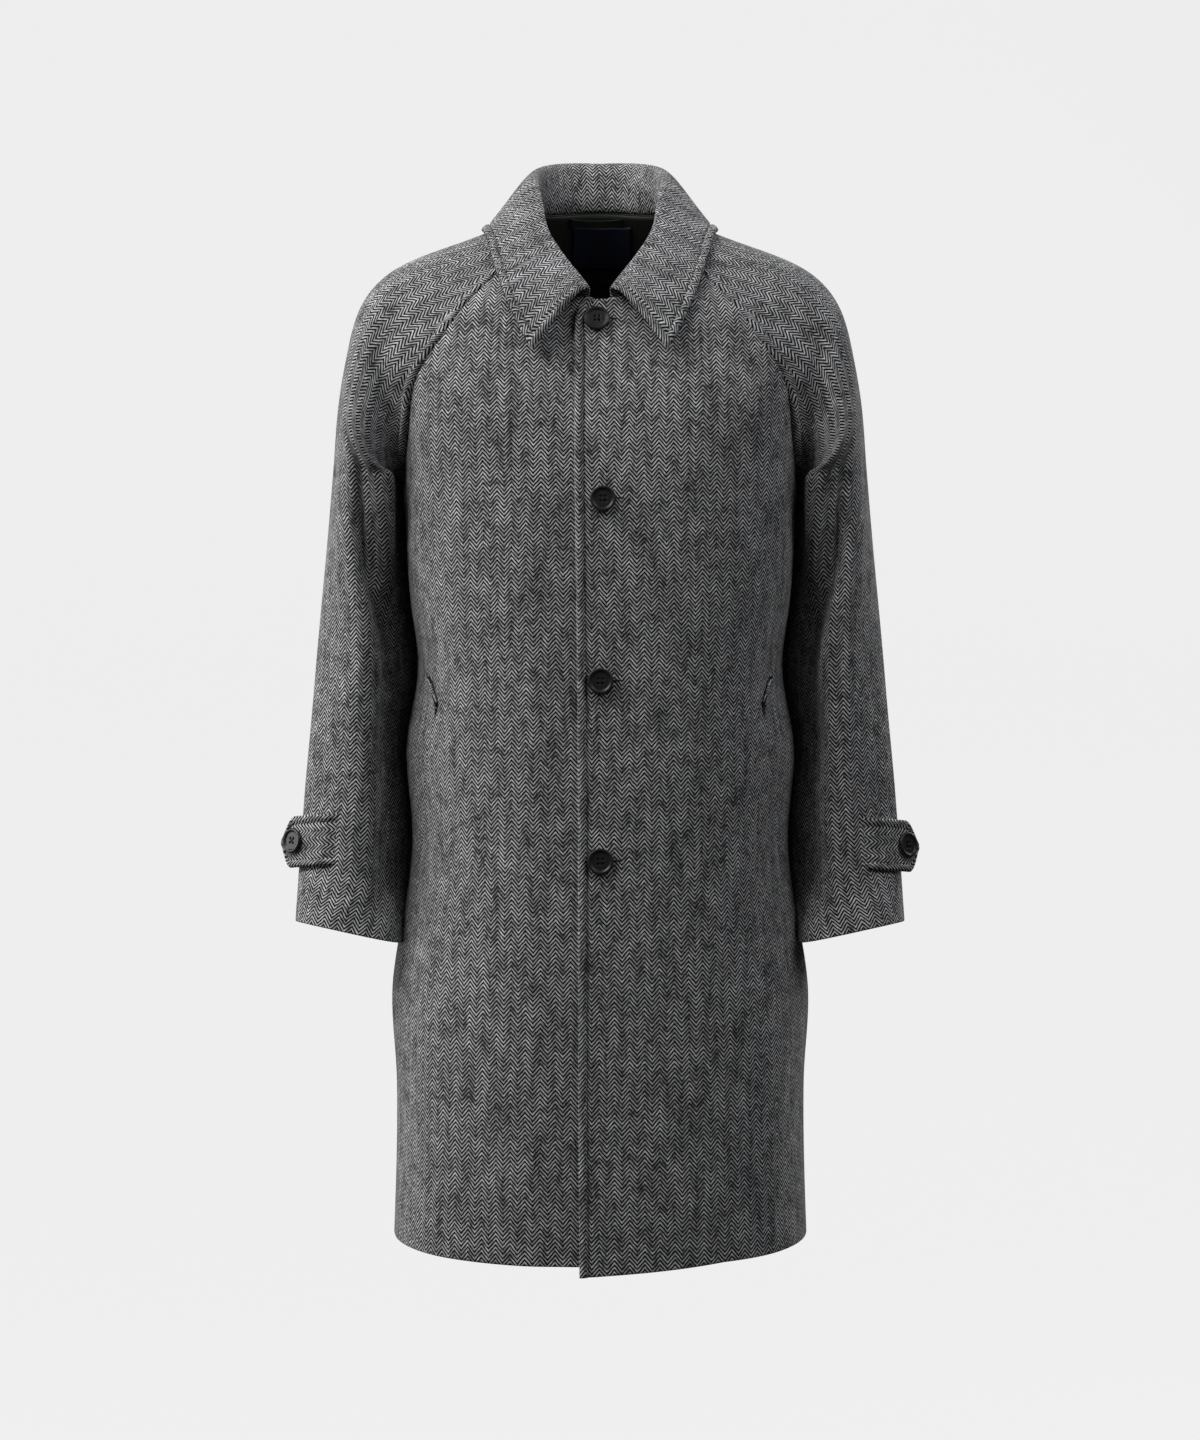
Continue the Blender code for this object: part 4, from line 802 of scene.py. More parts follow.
def stitching(name, rows):
    """Several rows of stitches as one piece of thread."""
    vertices, faces, start = [], [], 0
    for row_vertices, row_faces in rows:
        vertices.append(row_vertices)
        faces.append(row_faces + start)
        start += len(row_vertices)
    thing = mesh_object(name, np.concatenate(vertices), np.concatenate(faces), thread)
    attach(thing, "root")
    return thing


# Thread: spun polyester in charcoal. It shows as short dull dashes sunk in the wool.
THREAD_COLOUR = "1B1B1C"
thread, tree, shader = material("charcoal_thread")
ply = node(tree, "ShaderNodeTexNoise", Vector=node(tree, "ShaderNodeTexCoord").outputs["Object"],
           Scale=2600.0, Detail=1.0)
bump = node(tree, "ShaderNodeBump", Strength=0.4, Distance=0.0002, Height=ply)
wire(tree, shader, Base_Color=linear(THREAD_COLOUR), Normal=bump, Roughness=0.7)


def make_front(side, word):
    """One front: rows across from its free edge to the side seam, with the edge stitched."""
    levels = BODY_LEVELS
    edge = edge_shares(side, levels)
    run = near_edges(True, True, 60)
    share = edge[:, None] + (1.0 - edge[:, None]) * run[None, :]
    level = np.broadcast_to(levels[:, None], share.shape)
    outer = front_surface(side, level, share)
    outward = turned_out(grid_normals(outer), outer, DEEP_INSIDE)
    outward = met(outward, body_seam_normals(side, -1.0, levels)[:, None], run)
    edges = to_edges(outer)
    lift = stitched(edges["first"], STITCH_IN, FRONT_SWELL, FRONT_GROOVE)
    lift = lift + body_ripple(side, level, share)
    full = SIDE_FULLNESS * np.exp(-((share - SIDE_FULL_SHARE) / SIDE_FULL_WIDTH) ** 2)
    full = full * ease(*SIDE_FULL_STARTS, level) * ease(*SIDE_FULL_ENDS, level)
    lift = lift + full * ease(1.0, SEAM_TURN, share)
    lift = lift + stitched(edges["top"], NECK_STITCH, NECK_SWELL, NECK_GROOVE)
    lift = lift * ease(0.0, SEAM_SOFT, edges["last"])
    outer = outer + outward * lift[..., None]
    middle = front_surface(side, levels, 0.0 * levels)
    uv = level_uv(outer, middle, middle[:, 2])
    zero = np.array([np.interp(0.0, row, far) for row, far in zip(share, uv[..., 0])])
    uv[..., 0] -= zero[:, None]
    front = cloth("front_" + word, "_cloth", outer, outward, uv, tweed,
                  inside=satin)
    if side > 0:
        row = edge_stitches(outer, outward, edges["first"], STITCH_IN)
        stitching("front_edge_stitching", [row])
    return outer, outward


SIDES = ((1.0, "left"), (-1.0, "right"))
fronts = {word: make_front(side, word) for side, word in SIDES}


# The back: one piece of the same tweed with a centre line that hangs straight. It meets the
# sleeves along the back raglan seams and the fronts at the side seams.
def back_surface(level, share):
    """Back cloth, whose share runs from the right side (-1) to the left side (1)."""
    quarter = body_quarter(1.0, level, np.abs(share))
    quarter[..., 0] *= np.where(share < 0.0, -1.0, 1.0)
    return placed(quarter, 1.0, 1.0)


# Soft folds of the back: two that fall from the shoulder blades and two towards the underarms.
BACK_FOLDS = (
    fold(
        (0.30, 0.34, 0.10, 0.000),
        (0.55, 0.36, 0.09, 0.003),
        (0.85, 0.40, 0.08, 0.006),
        (1.10, 0.46, 0.08, 0.005),
        (1.35, 0.50, 0.08, 0.002),
        (1.50, 0.50, 0.08, 0.000),
        (1.80, 0.50, 0.08, 0.000),
    ),
    fold(
        (0.70, 0.60, 0.09, 0.000),
        (0.85, 0.66, 0.08, 0.004),
        (1.00, 0.74, 0.07, 0.006),
        (1.12, 0.82, 0.06, 0.004),
        (1.22, 0.86, 0.06, 0.000),
        (1.60, 0.86, 0.06, 0.000),
    ),
)
BACK_FOLDS_RIGHT_SHARE = 0.75
BACK_FOLDS_RIGHT_SHIFT = 0.06


def make_back():
    """The back, from the right side seam to the left, with soft folds below the shoulders."""
    levels = BODY_LEVELS
    run = np.concatenate((-near_edges(False, True, 56)[::-1], near_edges(False, True, 56)[1:]))
    level, share = np.broadcast_arrays(levels[:, None], run[None, :])
    outer = back_surface(level, share)
    outward = turned_out(grid_normals(outer), outer, DEEP_INSIDE)
    for side in (-1.0, 1.0):
        outward = met(outward, body_seam_normals(side, 1.0, levels)[:, None], run * side)
    edges = to_edges(outer)
    lift = body_ripple(0.4, level, share)
    left = fold_depth(BACK_FOLDS, level, share)
    right = fold_depth(BACK_FOLDS, level, BACK_FOLDS_RIGHT_SHIFT - share) * BACK_FOLDS_RIGHT_SHARE
    lift = lift - np.where(share > 0.0, left, right)
    lift = lift * ease(0.0, SEAM_SOFT, np.minimum(edges["last"], edges["first"]))
    outer = outer + outward * lift[..., None]
    middle = back_surface(levels, 0.0 * levels)
    uv = level_uv(outer, middle, middle[:, 2])
    uv[..., 0] -= uv[:, len(run) // 2, 0][:, None]
    back = cloth("back", "_cloth", outer, outward, uv, tweed, inside=satin)


make_back()


# The sleeves: each in two halves of tweed, cut in one with the shoulder up to the neck. They
# join along the overarm line, and the raglan seam is turned to the sleeve and stitched there.
RAGLAN_STITCH = 0.0095
RAGLAN_SWELL = 0.0024
RAGLAN_GROOVE = 0.0015
RAGLAN_START = 1.01
RAGLAN_FADES_IN = (0.98, 1.10)
CUFF_FADES_IN = (0.02, 0.16)
CUFF_LIFT = 0.004
CUFF_LIFT_LEVEL = 0.12

# A swollen edge that ends in a seam or a fold rises over its first 1.6 mm.
EDGE_SOFT = 0.0016

# The sleeve below the underarm: its inner and outer lines, and how far it bulges.
SLEEVE = chart((
    "level", "in_x", "in_y", "in_z", "out_x", "out_y", "out_z", "front", "crown", "back", "flank"), (
    (0.00, 0.1998, -0.054, -0.7345, 0.3074, -0.0520, -0.7130, 0.054, 0.044, 0.050, 4),
    (0.06, 0.1972, -0.026, -0.7050, 0.3061, -0.0475, -0.6850, 0.072, 0.038, 0.044, 5),
    (0.12, 0.1938, 0.004, -0.6750, 0.3048, -0.0430, -0.6570, 0.092, 0.033, 0.038, 6),
    (0.20, 0.1908, 0.020, -0.6360, 0.3025, -0.0385, -0.6195, 0.108, 0.029, 0.035, 6),
    (0.28, 0.1912, 0.028, -0.5970, 0.3002, -0.0340, -0.5820, 0.116, 0.027, 0.035, 5),
    (0.44, 0.1960, 0.034, -0.5200, 0.2943, -0.0250, -0.5070, 0.122, 0.027, 0.038, 5),
    (0.52, 0.1904, 0.034, -0.4795, 0.2914, -0.0206, -0.4675, 0.124, 0.029, 0.042, 6),
    (0.61, 0.1886, 0.034, -0.4410, 0.2884, -0.0160, -0.4275, 0.124, 0.033, 0.048, 6),
    (0.70, 0.1936, 0.032, -0.3997, 0.2849, -0.0120, -0.3858, 0.120, 0.040, 0.056, 5),
    (0.785, 0.1971, 0.026, -0.3600, 0.2814, -0.0080, -0.3457, 0.110, 0.052, 0.064, 4),
    (1.00, 0.2030, 0.005, -0.2700, 0.2727, 0.0000, -0.2450, 0.085, 0.085, 0.083, 0),
))
# The pull that makes a cubic curve into half an ellipse, near enough.
ROUND = 4.0 / 3.0

# The overarm and shoulder line, underarm level to neckline.
OVERARM = chart(("share", "x", "y", "z", "front_pull", "back_pull"), (
    (0.00, 0.2727, 0.000, -0.245, 0.113, 0.110),
    (0.16, 0.2670, 0.000, -0.185, 0.101, 0.100),
    (0.30, 0.2573, 0.000, -0.130, 0.088, 0.090),
    (0.43, 0.2445, 0.000, -0.085, 0.077, 0.080),
    (0.55, 0.2190, 0.000, -0.0533, 0.066, 0.070),
    (0.70, 0.1720, 0.001, -0.0295, 0.052, 0.056),
    (0.85, 0.1230, 0.003, -0.0110, 0.037, 0.040),
    (1.00, 0.0790, 0.004, 0.0100, 0.019, 0.019),
))

# The largest folds of each sleeve front: a trough's way down, its width and depth.
SLEEVE_FOLDS = (
    fold(
        (0.30, 0.16, 0.12, 0.000),
        (0.50, 0.16, 0.12, 0.000),
        (0.58, 0.20, 0.13, 0.005),
        (0.66, 0.26, 0.13, 0.010),
        (0.72, 0.32, 0.12, 0.015),
        (0.78, 0.39, 0.12, 0.020),
        (0.84, 0.445, 0.11, 0.018),
        (0.90, 0.470, 0.09, 0.011),
        (0.96, 0.500, 0.085, 0.008),
        (1.02, 0.510, 0.085, 0.005),
        (1.08, 0.510, 0.085, 0.002),
        (1.14, 0.510, 0.085, 0.000),
        (1.30, 0.510, 0.085, 0.000),
    ),
    fold(
        (1.00, 0.05, 0.10, 0.000),
        (1.10, 0.05, 0.10, 0.001),
        (1.22, 0.06, 0.10, 0.005),
        (1.30, 0.09, 0.10, 0.008),
        (1.38, 0.17, 0.10, 0.009),
        (1.44, 0.31, 0.10, 0.006),
        (1.50, 0.42, 0.10, 0.003),
        (1.56, 0.47, 0.10, 0.000),
        (1.80, 0.50, 0.10, 0.000),
    ),
)


def overarm(sign, level):
    """The line down the outside of the arm, which both halves of a sleeve share."""
    low, high, above = split_level(level)
    x, y, z = (np.where(above, smooth(OVERARM, "share", axis, high),
                        smooth(SLEEVE, "level", "out_" + axis, low)) for axis in "xyz")
    return points(x, sign * y, z)


def sleeve_half(sign, level, share):
    """Half a sleeve, from the underarm or raglan seam (share 0) to the overarm line (share 1).

    Level runs from the cuff (0) to the underarm (1) and the neckline (2). Each row is a cubic
    curve, near to half an ellipse. The front half leaves the underarm seam along a slanted
    flank, because the sleeve hangs flat against the body there.
    """
    low, high, above = split_level(level)
    raglan = RAGLAN_FRONT if sign < 0 else RAGLAN_BACK
    bulge, crown, pull = ("front", "crown", "front_pull") if sign < 0 else ("back", "back", "back_pull")

    def seam(below, column):
        """A value below the underarm, and the raglan seam's own above it."""
        return np.where(above, smooth(raglan, "share", column, high), below)

    start = points(
        seam(smooth(SLEEVE, "level", "in_x", low), "x"),
        seam(sign * smooth(SLEEVE, "level", "in_y", low), "depth"),
        seam(smooth(SLEEVE, "level", "in_z", low), "height"),
    )
    around = ROUND * smooth(SLEEVE, "level", bulge, low)
    flank = smooth(SLEEVE, "level", "flank", low) * (sign < 0)
    towards = crossing(seam(flank - 90.0, "sleeve_facing"), seam(0.0, "rise"), seam(0.0, "sleeve_climb"))
    start_pull = towards * seam(around, "sleeve_pull")[..., None]
    over = ROUND * smooth(SLEEVE, "level", crown, low)
    end_pull = points(0.0, np.where(above, smooth(OVERARM, "share", pull, high), over), 0.0)
    half = bezier(start, start_pull, end_pull, overarm(sign, level), share)
    half[..., 2] -= sign * CUFF_LIFT * np.sin(np.pi * share) * ease(CUFF_LIFT_LEVEL, 0.0, low)
    return half


def sleeve_surface(side, sign, level, share):
    """Sleeve cloth of the front half (sign -1) or the back half (sign 1), without folds."""
    return placed(sleeve_half(sign, level, share), side, sign)


def sleeve_seam_normals(side, sign, level):
    """Normals of the sleeve cloth along its underarm and raglan seam."""
    raglan = RAGLAN_FRONT if sign < 0 else RAGLAN_BACK
    low, high, above = split_level(level)
    lean = -0.5 * sign * smooth(SLEEVE, "level", "flank", low)
    facing = np.where(above, smooth(raglan, "share", "sleeve_facing", high), lean - 90.0)
    rise = np.where(above, smooth(raglan, "share", "rise", high), 0.0)
    return placed(facing_normal(facing, rise), side, sign)


def overarm_normals(side, level):
    """Normals along the overarm line, square to it in the plane of the two arms."""
    ahead = overarm(1.0, np.minimum(level + STEP, TOP))
    behind = overarm(1.0, np.maximum(level - STEP, 0.0))
    way = ahead - behind
    return placed(unit(points(way[..., 2], 0.0, -way[..., 0])), side, 1.0)


# How the cloth of a sleeve front swells or sinks round the arm: a hard ridge down its front, a
# flatter outer face and a hollow where it turns in to the body.
SLEEVE_FULLNESS = chart(("across", "width", "rise", "gone", "whole"), (
    (0.24, 0.08, -0.0050, 0.78, 0.60),
    (0.41, 0.11, 0.0060, 0.98, 0.66),
    (0.74, 0.17, -0.0045, 0.98, 0.66),
))

# The ridge between the two largest folds of a sleeve front, widest level with the underarm.
SLEEVE_RIDGE = (
    fold(
        (0.66, 0.22, 0.05, 0.000),
        (0.76, 0.23, 0.05, 0.004),
        (0.84, 0.26, 0.06, 0.008),
        (0.92, 0.29, 0.08, 0.012),
        (1.00, 0.31, 0.09, 0.012),
        (1.08, 0.33, 0.10, 0.006),
        (1.18, 0.34, 0.10, 0.000),
        (1.60, 0.34, 0.10, 0.000),
    ),
)

# Slacker folds on the back half of each sleeve, where it bends behind the elbow.
SLEEVE_BACK_FOLDS = (
    fold(
        (0.30, 0.75, 0.14, 0.000),
        (0.42, 0.70, 0.13, 0.004),
        (0.52, 0.58, 0.12, 0.006),
        (0.62, 0.42, 0.12, 0.004),
        (0.72, 0.30, 0.12, 0.000),
        (1.20, 0.30, 0.12, 0.000),
    ),
    fold(
        (0.60, 0.62, 0.12, 0.000),
        (0.72, 0.55, 0.11, 0.005),
        (0.84, 0.44, 0.10, 0.008),
        (0.96, 0.32, 0.10, 0.006),
        (1.08, 0.24, 0.10, 0.003),
        (1.20, 0.20, 0.10, 0.000),
        (1.60, 0.20, 0.10, 0.000),
    ),
)

SLEEVE_LEVELS = np.concatenate((
    (0.0, 0.0010, 0.0030, 0.006, 0.010), np.linspace(0.018, 1.0, 90)[:-1], TOP_LEVELS))


def make_sleeve(side, sign, word):
    """Half a sleeve with its folds, from the underarm or raglan seam to the overarm line."""
    levels = SLEEVE_LEVELS
    run = near_edges(True, True, 50)
    level, share = np.broadcast_arrays(levels[:, None], run[None, :])
    outer = sleeve_surface(side, sign, level, share)
    middle = 0.5 * (outer[:, :1] + outer[:, -1:])
    outward = turned_out(grid_normals(outer), outer, middle)
    folds = SLEEVE_FOLDS if sign < 0 else SLEEVE_BACK_FOLDS
    sink = fold_depth(folds, level, share)
    if sign < 0:
        full = SLEEVE_FULLNESS
        bells = np.exp(-((share[..., None] - full["across"]) / full["width"]) ** 2)
        fade = ease(full["gone"], full["whole"], level[..., None])
        swell = np.sum(bells * fade * full["rise"], axis=-1) * ease(*CUFF_FADES_IN, level)
        swell += fold_depth(SLEEVE_RIDGE, level, share)
        sink = sink - swell * ease(0.0, 0.10, share) * ease(1.0, 0.92, share)
    outer = outer - outward * sink[..., None]
    outward = turned_out(grid_normals(outer), outer, middle)
    outward = met(outward, sleeve_seam_normals(side, sign, levels)[:, None], 1.0 - run)
    outward = met(outward, overarm_normals(side, levels)[:, None], run)
    edges = to_edges(outer)
    lift = stitched(edges["first"], RAGLAN_STITCH, RAGLAN_SWELL, RAGLAN_GROOVE)
    lift = lift * ease(*RAGLAN_FADES_IN, level) * ease(0.0, EDGE_SOFT, edges["first"])
    outer = outer + outward * lift[..., None]
    rise = np.broadcast_to(arc(outer[:, -1:], 0), level.shape)
    uv = np.stack((arc(outer, 1) - arc(outer, 1)[:, -1:], rise), axis=-1)
    name = ("sleeve_front_" if sign < 0 else "sleeve_back_") + word
    half = cloth(name, "_cloth", outer, outward, uv, tweed, inside=satin)
    above = levels > RAGLAN_START
    row = edge_stitches(outer[above], outward[above], edges["first"][above], RAGLAN_STITCH)
    sewn = stitching(name + "_stitching", [row])
    return outer, outward


sleeves = {}
for side, word in SIDES:
    sleeves[word] = make_sleeve(side, -1.0, word)
    make_sleeve(side, 1.0, word)


# The collar: one band of doubled tweed that stands up round the neck, rolls over and lies on
# the shoulders with two pointed ends. Its three free edges are stitched 9.5 mm in.

# The collar by its share of the way from centre back to the front end:
# the roll line, the outer edge of the leaf and how wide the roll is.
COLLAR = chart(("share", "roll_x", "roll_y", "roll_z", "edge_x", "edge_y", "edge_z", "roll"), (
    (0.00, 0.0000, 0.0800, 0.0800, 0.0000, 0.1120, 0.0060, 0.0120),
    (0.14, 0.0400, 0.0750, 0.0790, 0.0450, 0.1080, 0.0060, 0.0150),
    (0.24, 0.0620, 0.0560, 0.0715, 0.0860, 0.0880, 0.0050, 0.0180),
    (0.33, 0.0700, 0.0320, 0.0595, 0.1100, 0.0520, 0.0000, 0.0180),
    (0.42, 0.0680, 0.0100, 0.0430, 0.1205, 0.0120, -0.0050, 0.0160),
    (0.52, 0.0620, -0.0120, 0.0205, 0.1165, -0.0200, -0.0180, 0.0130),
    (0.62, 0.0555, -0.0360, -0.0070, 0.1100, -0.0500, -0.0400, 0.0090),
    (0.72, 0.0450, -0.0590, -0.0300, 0.1030, -0.0730, -0.0640, 0.0080),
    (0.82, 0.0310, -0.0800, -0.0520, 0.0940, -0.0950, -0.0900, 0.0070),
    (0.91, 0.0190, -0.0960, -0.0690, 0.0800, -0.1150, -0.1220, 0.0065),
    (1.00, 0.0115, -0.1050, -0.0810, 0.0655, -0.1270, -0.1480, 0.0060),
))
COLLAR_WALL = 0.0030
COLLAR_END = 0.0115
COLLAR_SEAM_GAP = 0.0008
LEAF_HOLD = 0.30
LEAF_SPRING = 0.006
LEAF_GAP = 0.0012
LEAF_SOFT = 0.0025
COLLAR_STITCH = 0.0095
COLLAR_WEAVE = 0.96
COLLAR_SWELL = 0.0024
COLLAR_GROOVE = 0.0017
COLLAR_STITCH_START = 6
COLLAR_FADES_IN = (3.0, 9.0)
STAND_HOLD = 0.3
LEAF_LIFT = 0.0045
LEAF_LIFT_REACH = 0.022

# Points inside the neck and the shoulders, which their cloth is turned away from.
NECK_INSIDE = np.array((0.0, -0.01, -0.15))
SHOULDER_INSIDE = np.array((0.0, 0.0, -0.25))

# Shares of the way up the stand, down the leaf and round the neck, closer together at edges.
STAND_SHARES = np.concatenate(((0.0, 0.004, 0.012, 0.03), np.linspace(0.08, 0.94, 14)))
LEAF_SHARES = np.concatenate((np.linspace(0.0, 0.80, 30), 1.0 - np.array(
    (0.185, 0.17, 0.155, 0.14, 0.128, 0.116, 0.104, 0.09, 0.075, 0.06, 0.045, 0.03, 0.018, 0.009, 0.003,
     0.0))))
COLLAR_ENDS = np.array((0.0, 0.0015, 0.004, 0.008, 0.013, 0.019, 0.025, 0.031, 0.037, 0.043, 0.049,
                        0.056))
COLLAR_EVEN = np.linspace(-0.935, 0.935, 131)


def around_neck(side):
    """The cloths round one side of the neck: back, both halves of the sleeve, and front."""
    return (
        lambda level, share: back_surface(level, side * share),
        lambda level, share: sleeve_surface(side, 1.0, level, share),
        lambda level, share: sleeve_surface(side, -1.0, level, share),
        lambda level, share: front_surface(side, level, share),
    )


def neckline(side, share):
    """Neckline from centre back to the collar's front end: points, normals and way up."""
    run = np.linspace(0.0, 1.0, 31)
    across = body_quarter(-1.0, TOP + 0.0 * run, run)[:, 0]
    stop = np.interp(COLLAR_END, across, run)
    stretches = zip(around_neck(side), (run, run, run[::-1], 1.0 - run * (1.0 - stop)))
    line, face, up = [], [], []
    for surface, at in stretches:
        top = surface(TOP + 0.0 * at, at)
        normal = surface_normals(surface, TOP + 0.0 * at, at)
        line.append(top)
        face.append(turned_out(normal, top, NECK_INSIDE))
        up.append(unit(top - surface(TOP - STEP + 0.0 * at, at)))
    line, face, up = (np.concatenate(each) for each in (line, face, up))
    along = np.concatenate(((0.0,), np.cumsum(np.linalg.norm(np.diff(line, axis=0), axis=1))))
    along /= along[-1]
    line, face, up = (read_along(share, along, each) for each in (line, face, up))
    return line, unit(face), unit(up)


def collar_grid(share):
    """Face of the folded collar: up the stand, over the roll and down the leaf, each a cubic."""
    line, face, up = np.empty((3, len(share), 3))
    for side in (-1.0, 1.0):
        own = share * side >= 0.0
        line[own], face[own], up[own] = neckline(side, np.abs(share[own]))
    near = np.abs(share)
    side = np.where(share < 0.0, -1.0, 1.0)
    base = line - face * WALL + up * COLLAR_SEAM_GAP
    roll, edge = (points(side * smooth(COLLAR, "share", name + "_x", near),
                         smooth(COLLAR, "share", name + "_y", near),
                         smooth(COLLAR, "share", name + "_z", near)) for name in ("roll", "edge"))
    out = unit((edge - base) * np.array((1.0, 1.0, 0.0)))
    reach = smooth(COLLAR, "share", "roll", near)[:, None]
    tall = np.linalg.norm(roll - base, axis=-1, keepdims=True)
    stand_at = np.broadcast_to(STAND_SHARES, (len(share), len(STAND_SHARES)))
    leaf_at = np.broadcast_to(LEAF_SHARES, (len(share), len(LEAF_SHARES)))
    stand_reach = np.minimum(reach, 0.5 * tall)
    stand = bezier(base[:, None], (up * tall * STAND_HOLD)[:, None], (-out * stand_reach)[:, None],
                   roll[:, None], stand_at)
    hold = (roll - edge) * LEAF_HOLD + out * LEAF_SPRING
    leaf = bezier(roll[:, None], (out * reach)[:, None], hold[:, None], edge[:, None], leaf_at)
    grid = np.concatenate((stand, leaf), axis=1)
    outward = grid_normals(grid)
    if np.sum(outward[:, -2] * out) < 0:
        outward = -outward
    outward[:, 0] = -face
    return grid, outward


def shoulder_cloth():
    """Points and normals all over the cloth that the collar leaf lies on."""
    level = np.linspace(1.55, TOP, 31)[:, None]
    share = np.linspace(0.0, 1.0, 31)[None, :]
    places, faces = [], []
    for side in (-1.0, 1.0):
        back_cloth, sleeve_back, sleeve_front, front_cloth = around_neck(side)
        for surface in (front_cloth, back_cloth, sleeve_back, sleeve_front):
            grid = surface(level, share)
            normal = surface_normals(surface, level, np.clip(share, STEP, 1.0 - STEP))
            places.append(grid.reshape(-1, 3))
            faces.append(turned_out(normal, grid, SHOULDER_INSIDE).reshape(-1, 3))
    return np.concatenate(places), np.concatenate(faces)


def lifted_leaf(grid):
    """The collar with its leaf moved out softly wherever it would sink into the shoulders."""
    places, faces = shoulder_cloth()
    finder = KDTree(len(places))
    for index, place in enumerate(places):
        finder.insert(place, index)
    finder.balance()
    leaf = grid[:, len(STAND_SHARES):]
    spots = leaf.reshape(-1, 3)
    nearest = np.array([finder.find(spot)[1] for spot in spots])
    height = np.sum((spots - places[nearest]) * faces[nearest], axis=1)
    short = COLLAR_WALL + LEAF_GAP - height
    push = 0.5 * (short + np.sqrt(short ** 2 + LEAF_SOFT ** 2))
    push *= ease(0.1, 0.45, np.tile(LEAF_SHARES, len(grid)))
    grid = grid.copy()
    grid[:, len(STAND_SHARES):] = (spots + faces[nearest] * push[:, None]).reshape(leaf.shape)
    return grid


def end_stitches(outer, outward, edges, end, columns, inset):
    """A row of stitches along the bottom or the top end of a grid, in the given columns."""
    order = slice(None) if end == "bottom" else slice(None, None, -1)
    grid, face, far = (each[order].swapaxes(0, 1)[columns] for each in (outer, outward, edges[end]))
    return edge_stitches(grid, face, far, inset)


def make_collar():
    """The folded collar with its stitched edges, straight of grain at the centre back."""
    share = np.concatenate((COLLAR_ENDS - 1.0, COLLAR_EVEN, 1.0 - COLLAR_ENDS[::-1]))
    grid, outward = collar_grid(share)
    grid = lifted_leaf(grid)
    turn = np.sign(np.sum(grid_normals(grid) * outward))
    base_face = outward[:, 0].copy()
    outward = grid_normals(grid) * turn
    outward[:, 0] = base_face
    edges = to_edges(grid)
    leaf = ease(*COLLAR_FADES_IN, np.arange(grid.shape[1]) - len(STAND_SHARES))[None, :]
    free = np.minimum(edges["last"], np.minimum(edges["bottom"], edges["top"]))
    lift = stitched(free, COLLAR_STITCH, COLLAR_SWELL, COLLAR_GROOVE) * ease(0.0, EDGE_SOFT, free)
    ends = np.minimum(edges["bottom"], edges["top"])
    lift = (lift + LEAF_LIFT * np.exp(-(ends / LEAF_LIFT_REACH) ** 2)) * leaf
    outer = grid + outward * lift[..., None]
    along = arc(grid, 0)
    centre = len(share) // 2
    leaf_middle = len(STAND_SHARES) + len(LEAF_SHARES) // 2
    across = np.broadcast_to(along[:, leaf_middle:leaf_middle + 1], along.shape)
    uv = np.stack((across - across[centre], arc(grid, 1)), axis=-1) * COLLAR_WEAVE
    collar = cloth("collar", "_cloth", outer, outward, uv, tweed, COLLAR_WALL)
    inside = (edges["bottom"][:, -1] > COLLAR_STITCH) & (edges["top"][:, -1] > COLLAR_STITCH)
    rows = [edge_stitches(outer[inside], outward[inside], edges["last"][inside], COLLAR_STITCH)]
    on_leaf = np.arange(grid.shape[1]) >= len(STAND_SHARES) + COLLAR_STITCH_START
    for end, row in (("bottom", 0), ("top", -1)):
        columns = on_leaf & (edges["last"][row] > COLLAR_STITCH)
        rows.append(end_stitches(outer, outward, edges, end, columns, COLLAR_STITCH))
    sewn = stitching("collar_stitching", rows)


make_collar()


# The pocket welts: a slanted band of doubled tweed over each side pocket, sewn flush with the
# front. Its slanted top end stands a little proud, with a row of stitches and two bartacks.
# Each is placed by its top inner corner, the way along it and the way across its slanted end.
WELT_ACROSS = 0.161
WELT_TOP = -0.492
WELT_LENGTH = 0.165
WELT_SLANT = math.radians(14.0)
WELT_END_ACROSS = 0.020
WELT_END_RISE = 0.026
WELT_CLOTH = 0.0014
WELT_STITCH = 0.0065
WELT_SWELL = 0.0016
WELT_GROOVE = 0.0014
WELT_LIFT = 0.0012
WELT_SETTLE = 0.0014
WELT_LIFT_REACH = 0.012
WELT_LEVELS = (0.3, 0.8)

# The space between a piece and the cloth that it is sewn on.
LAY_GAP = 0.0004


def cloth_tree(outer):
    """The outer face of a piece of cloth, for laying other pieces on."""
    rows, columns = outer.shape[:2]
    return BVHTree.FromPolygons(outer.reshape(-1, 3).tolist(), grid_quads(rows, columns).tolist())


# How far outside the cloth a point starts on its way down to it.
RAY_START = 0.010


def resting(tree, grid, outward, gap):
    """The grid laid on a piece of cloth, a gap outside it along the given normals."""
    laid = grid.copy()
    for index in np.ndindex(*grid.shape[:-1]):
        away = Vector(outward[index])
        hit = tree.ray_cast(Vector(grid[index]) + away * RAY_START, -away)[0]
        if hit is not None:
            laid[index] = np.array(hit + away * gap)
    return laid


# Bartacks and buttonholes: close stitches of the same thread. A bartack sits in each corner of a
# welt's slanted end, and runs along the welt.
BAR_SPACE = 0.00062
BAR_THREAD = 0.00034
BAR_PROUD = 0.0004
BARTACK_LONG = 0.0070
BARTACK_TALL = 0.0024
BARTACK_COLUMN = 3
BARTACK_TOWARDS = 12
BARTACK_ROWS = (2, -3)


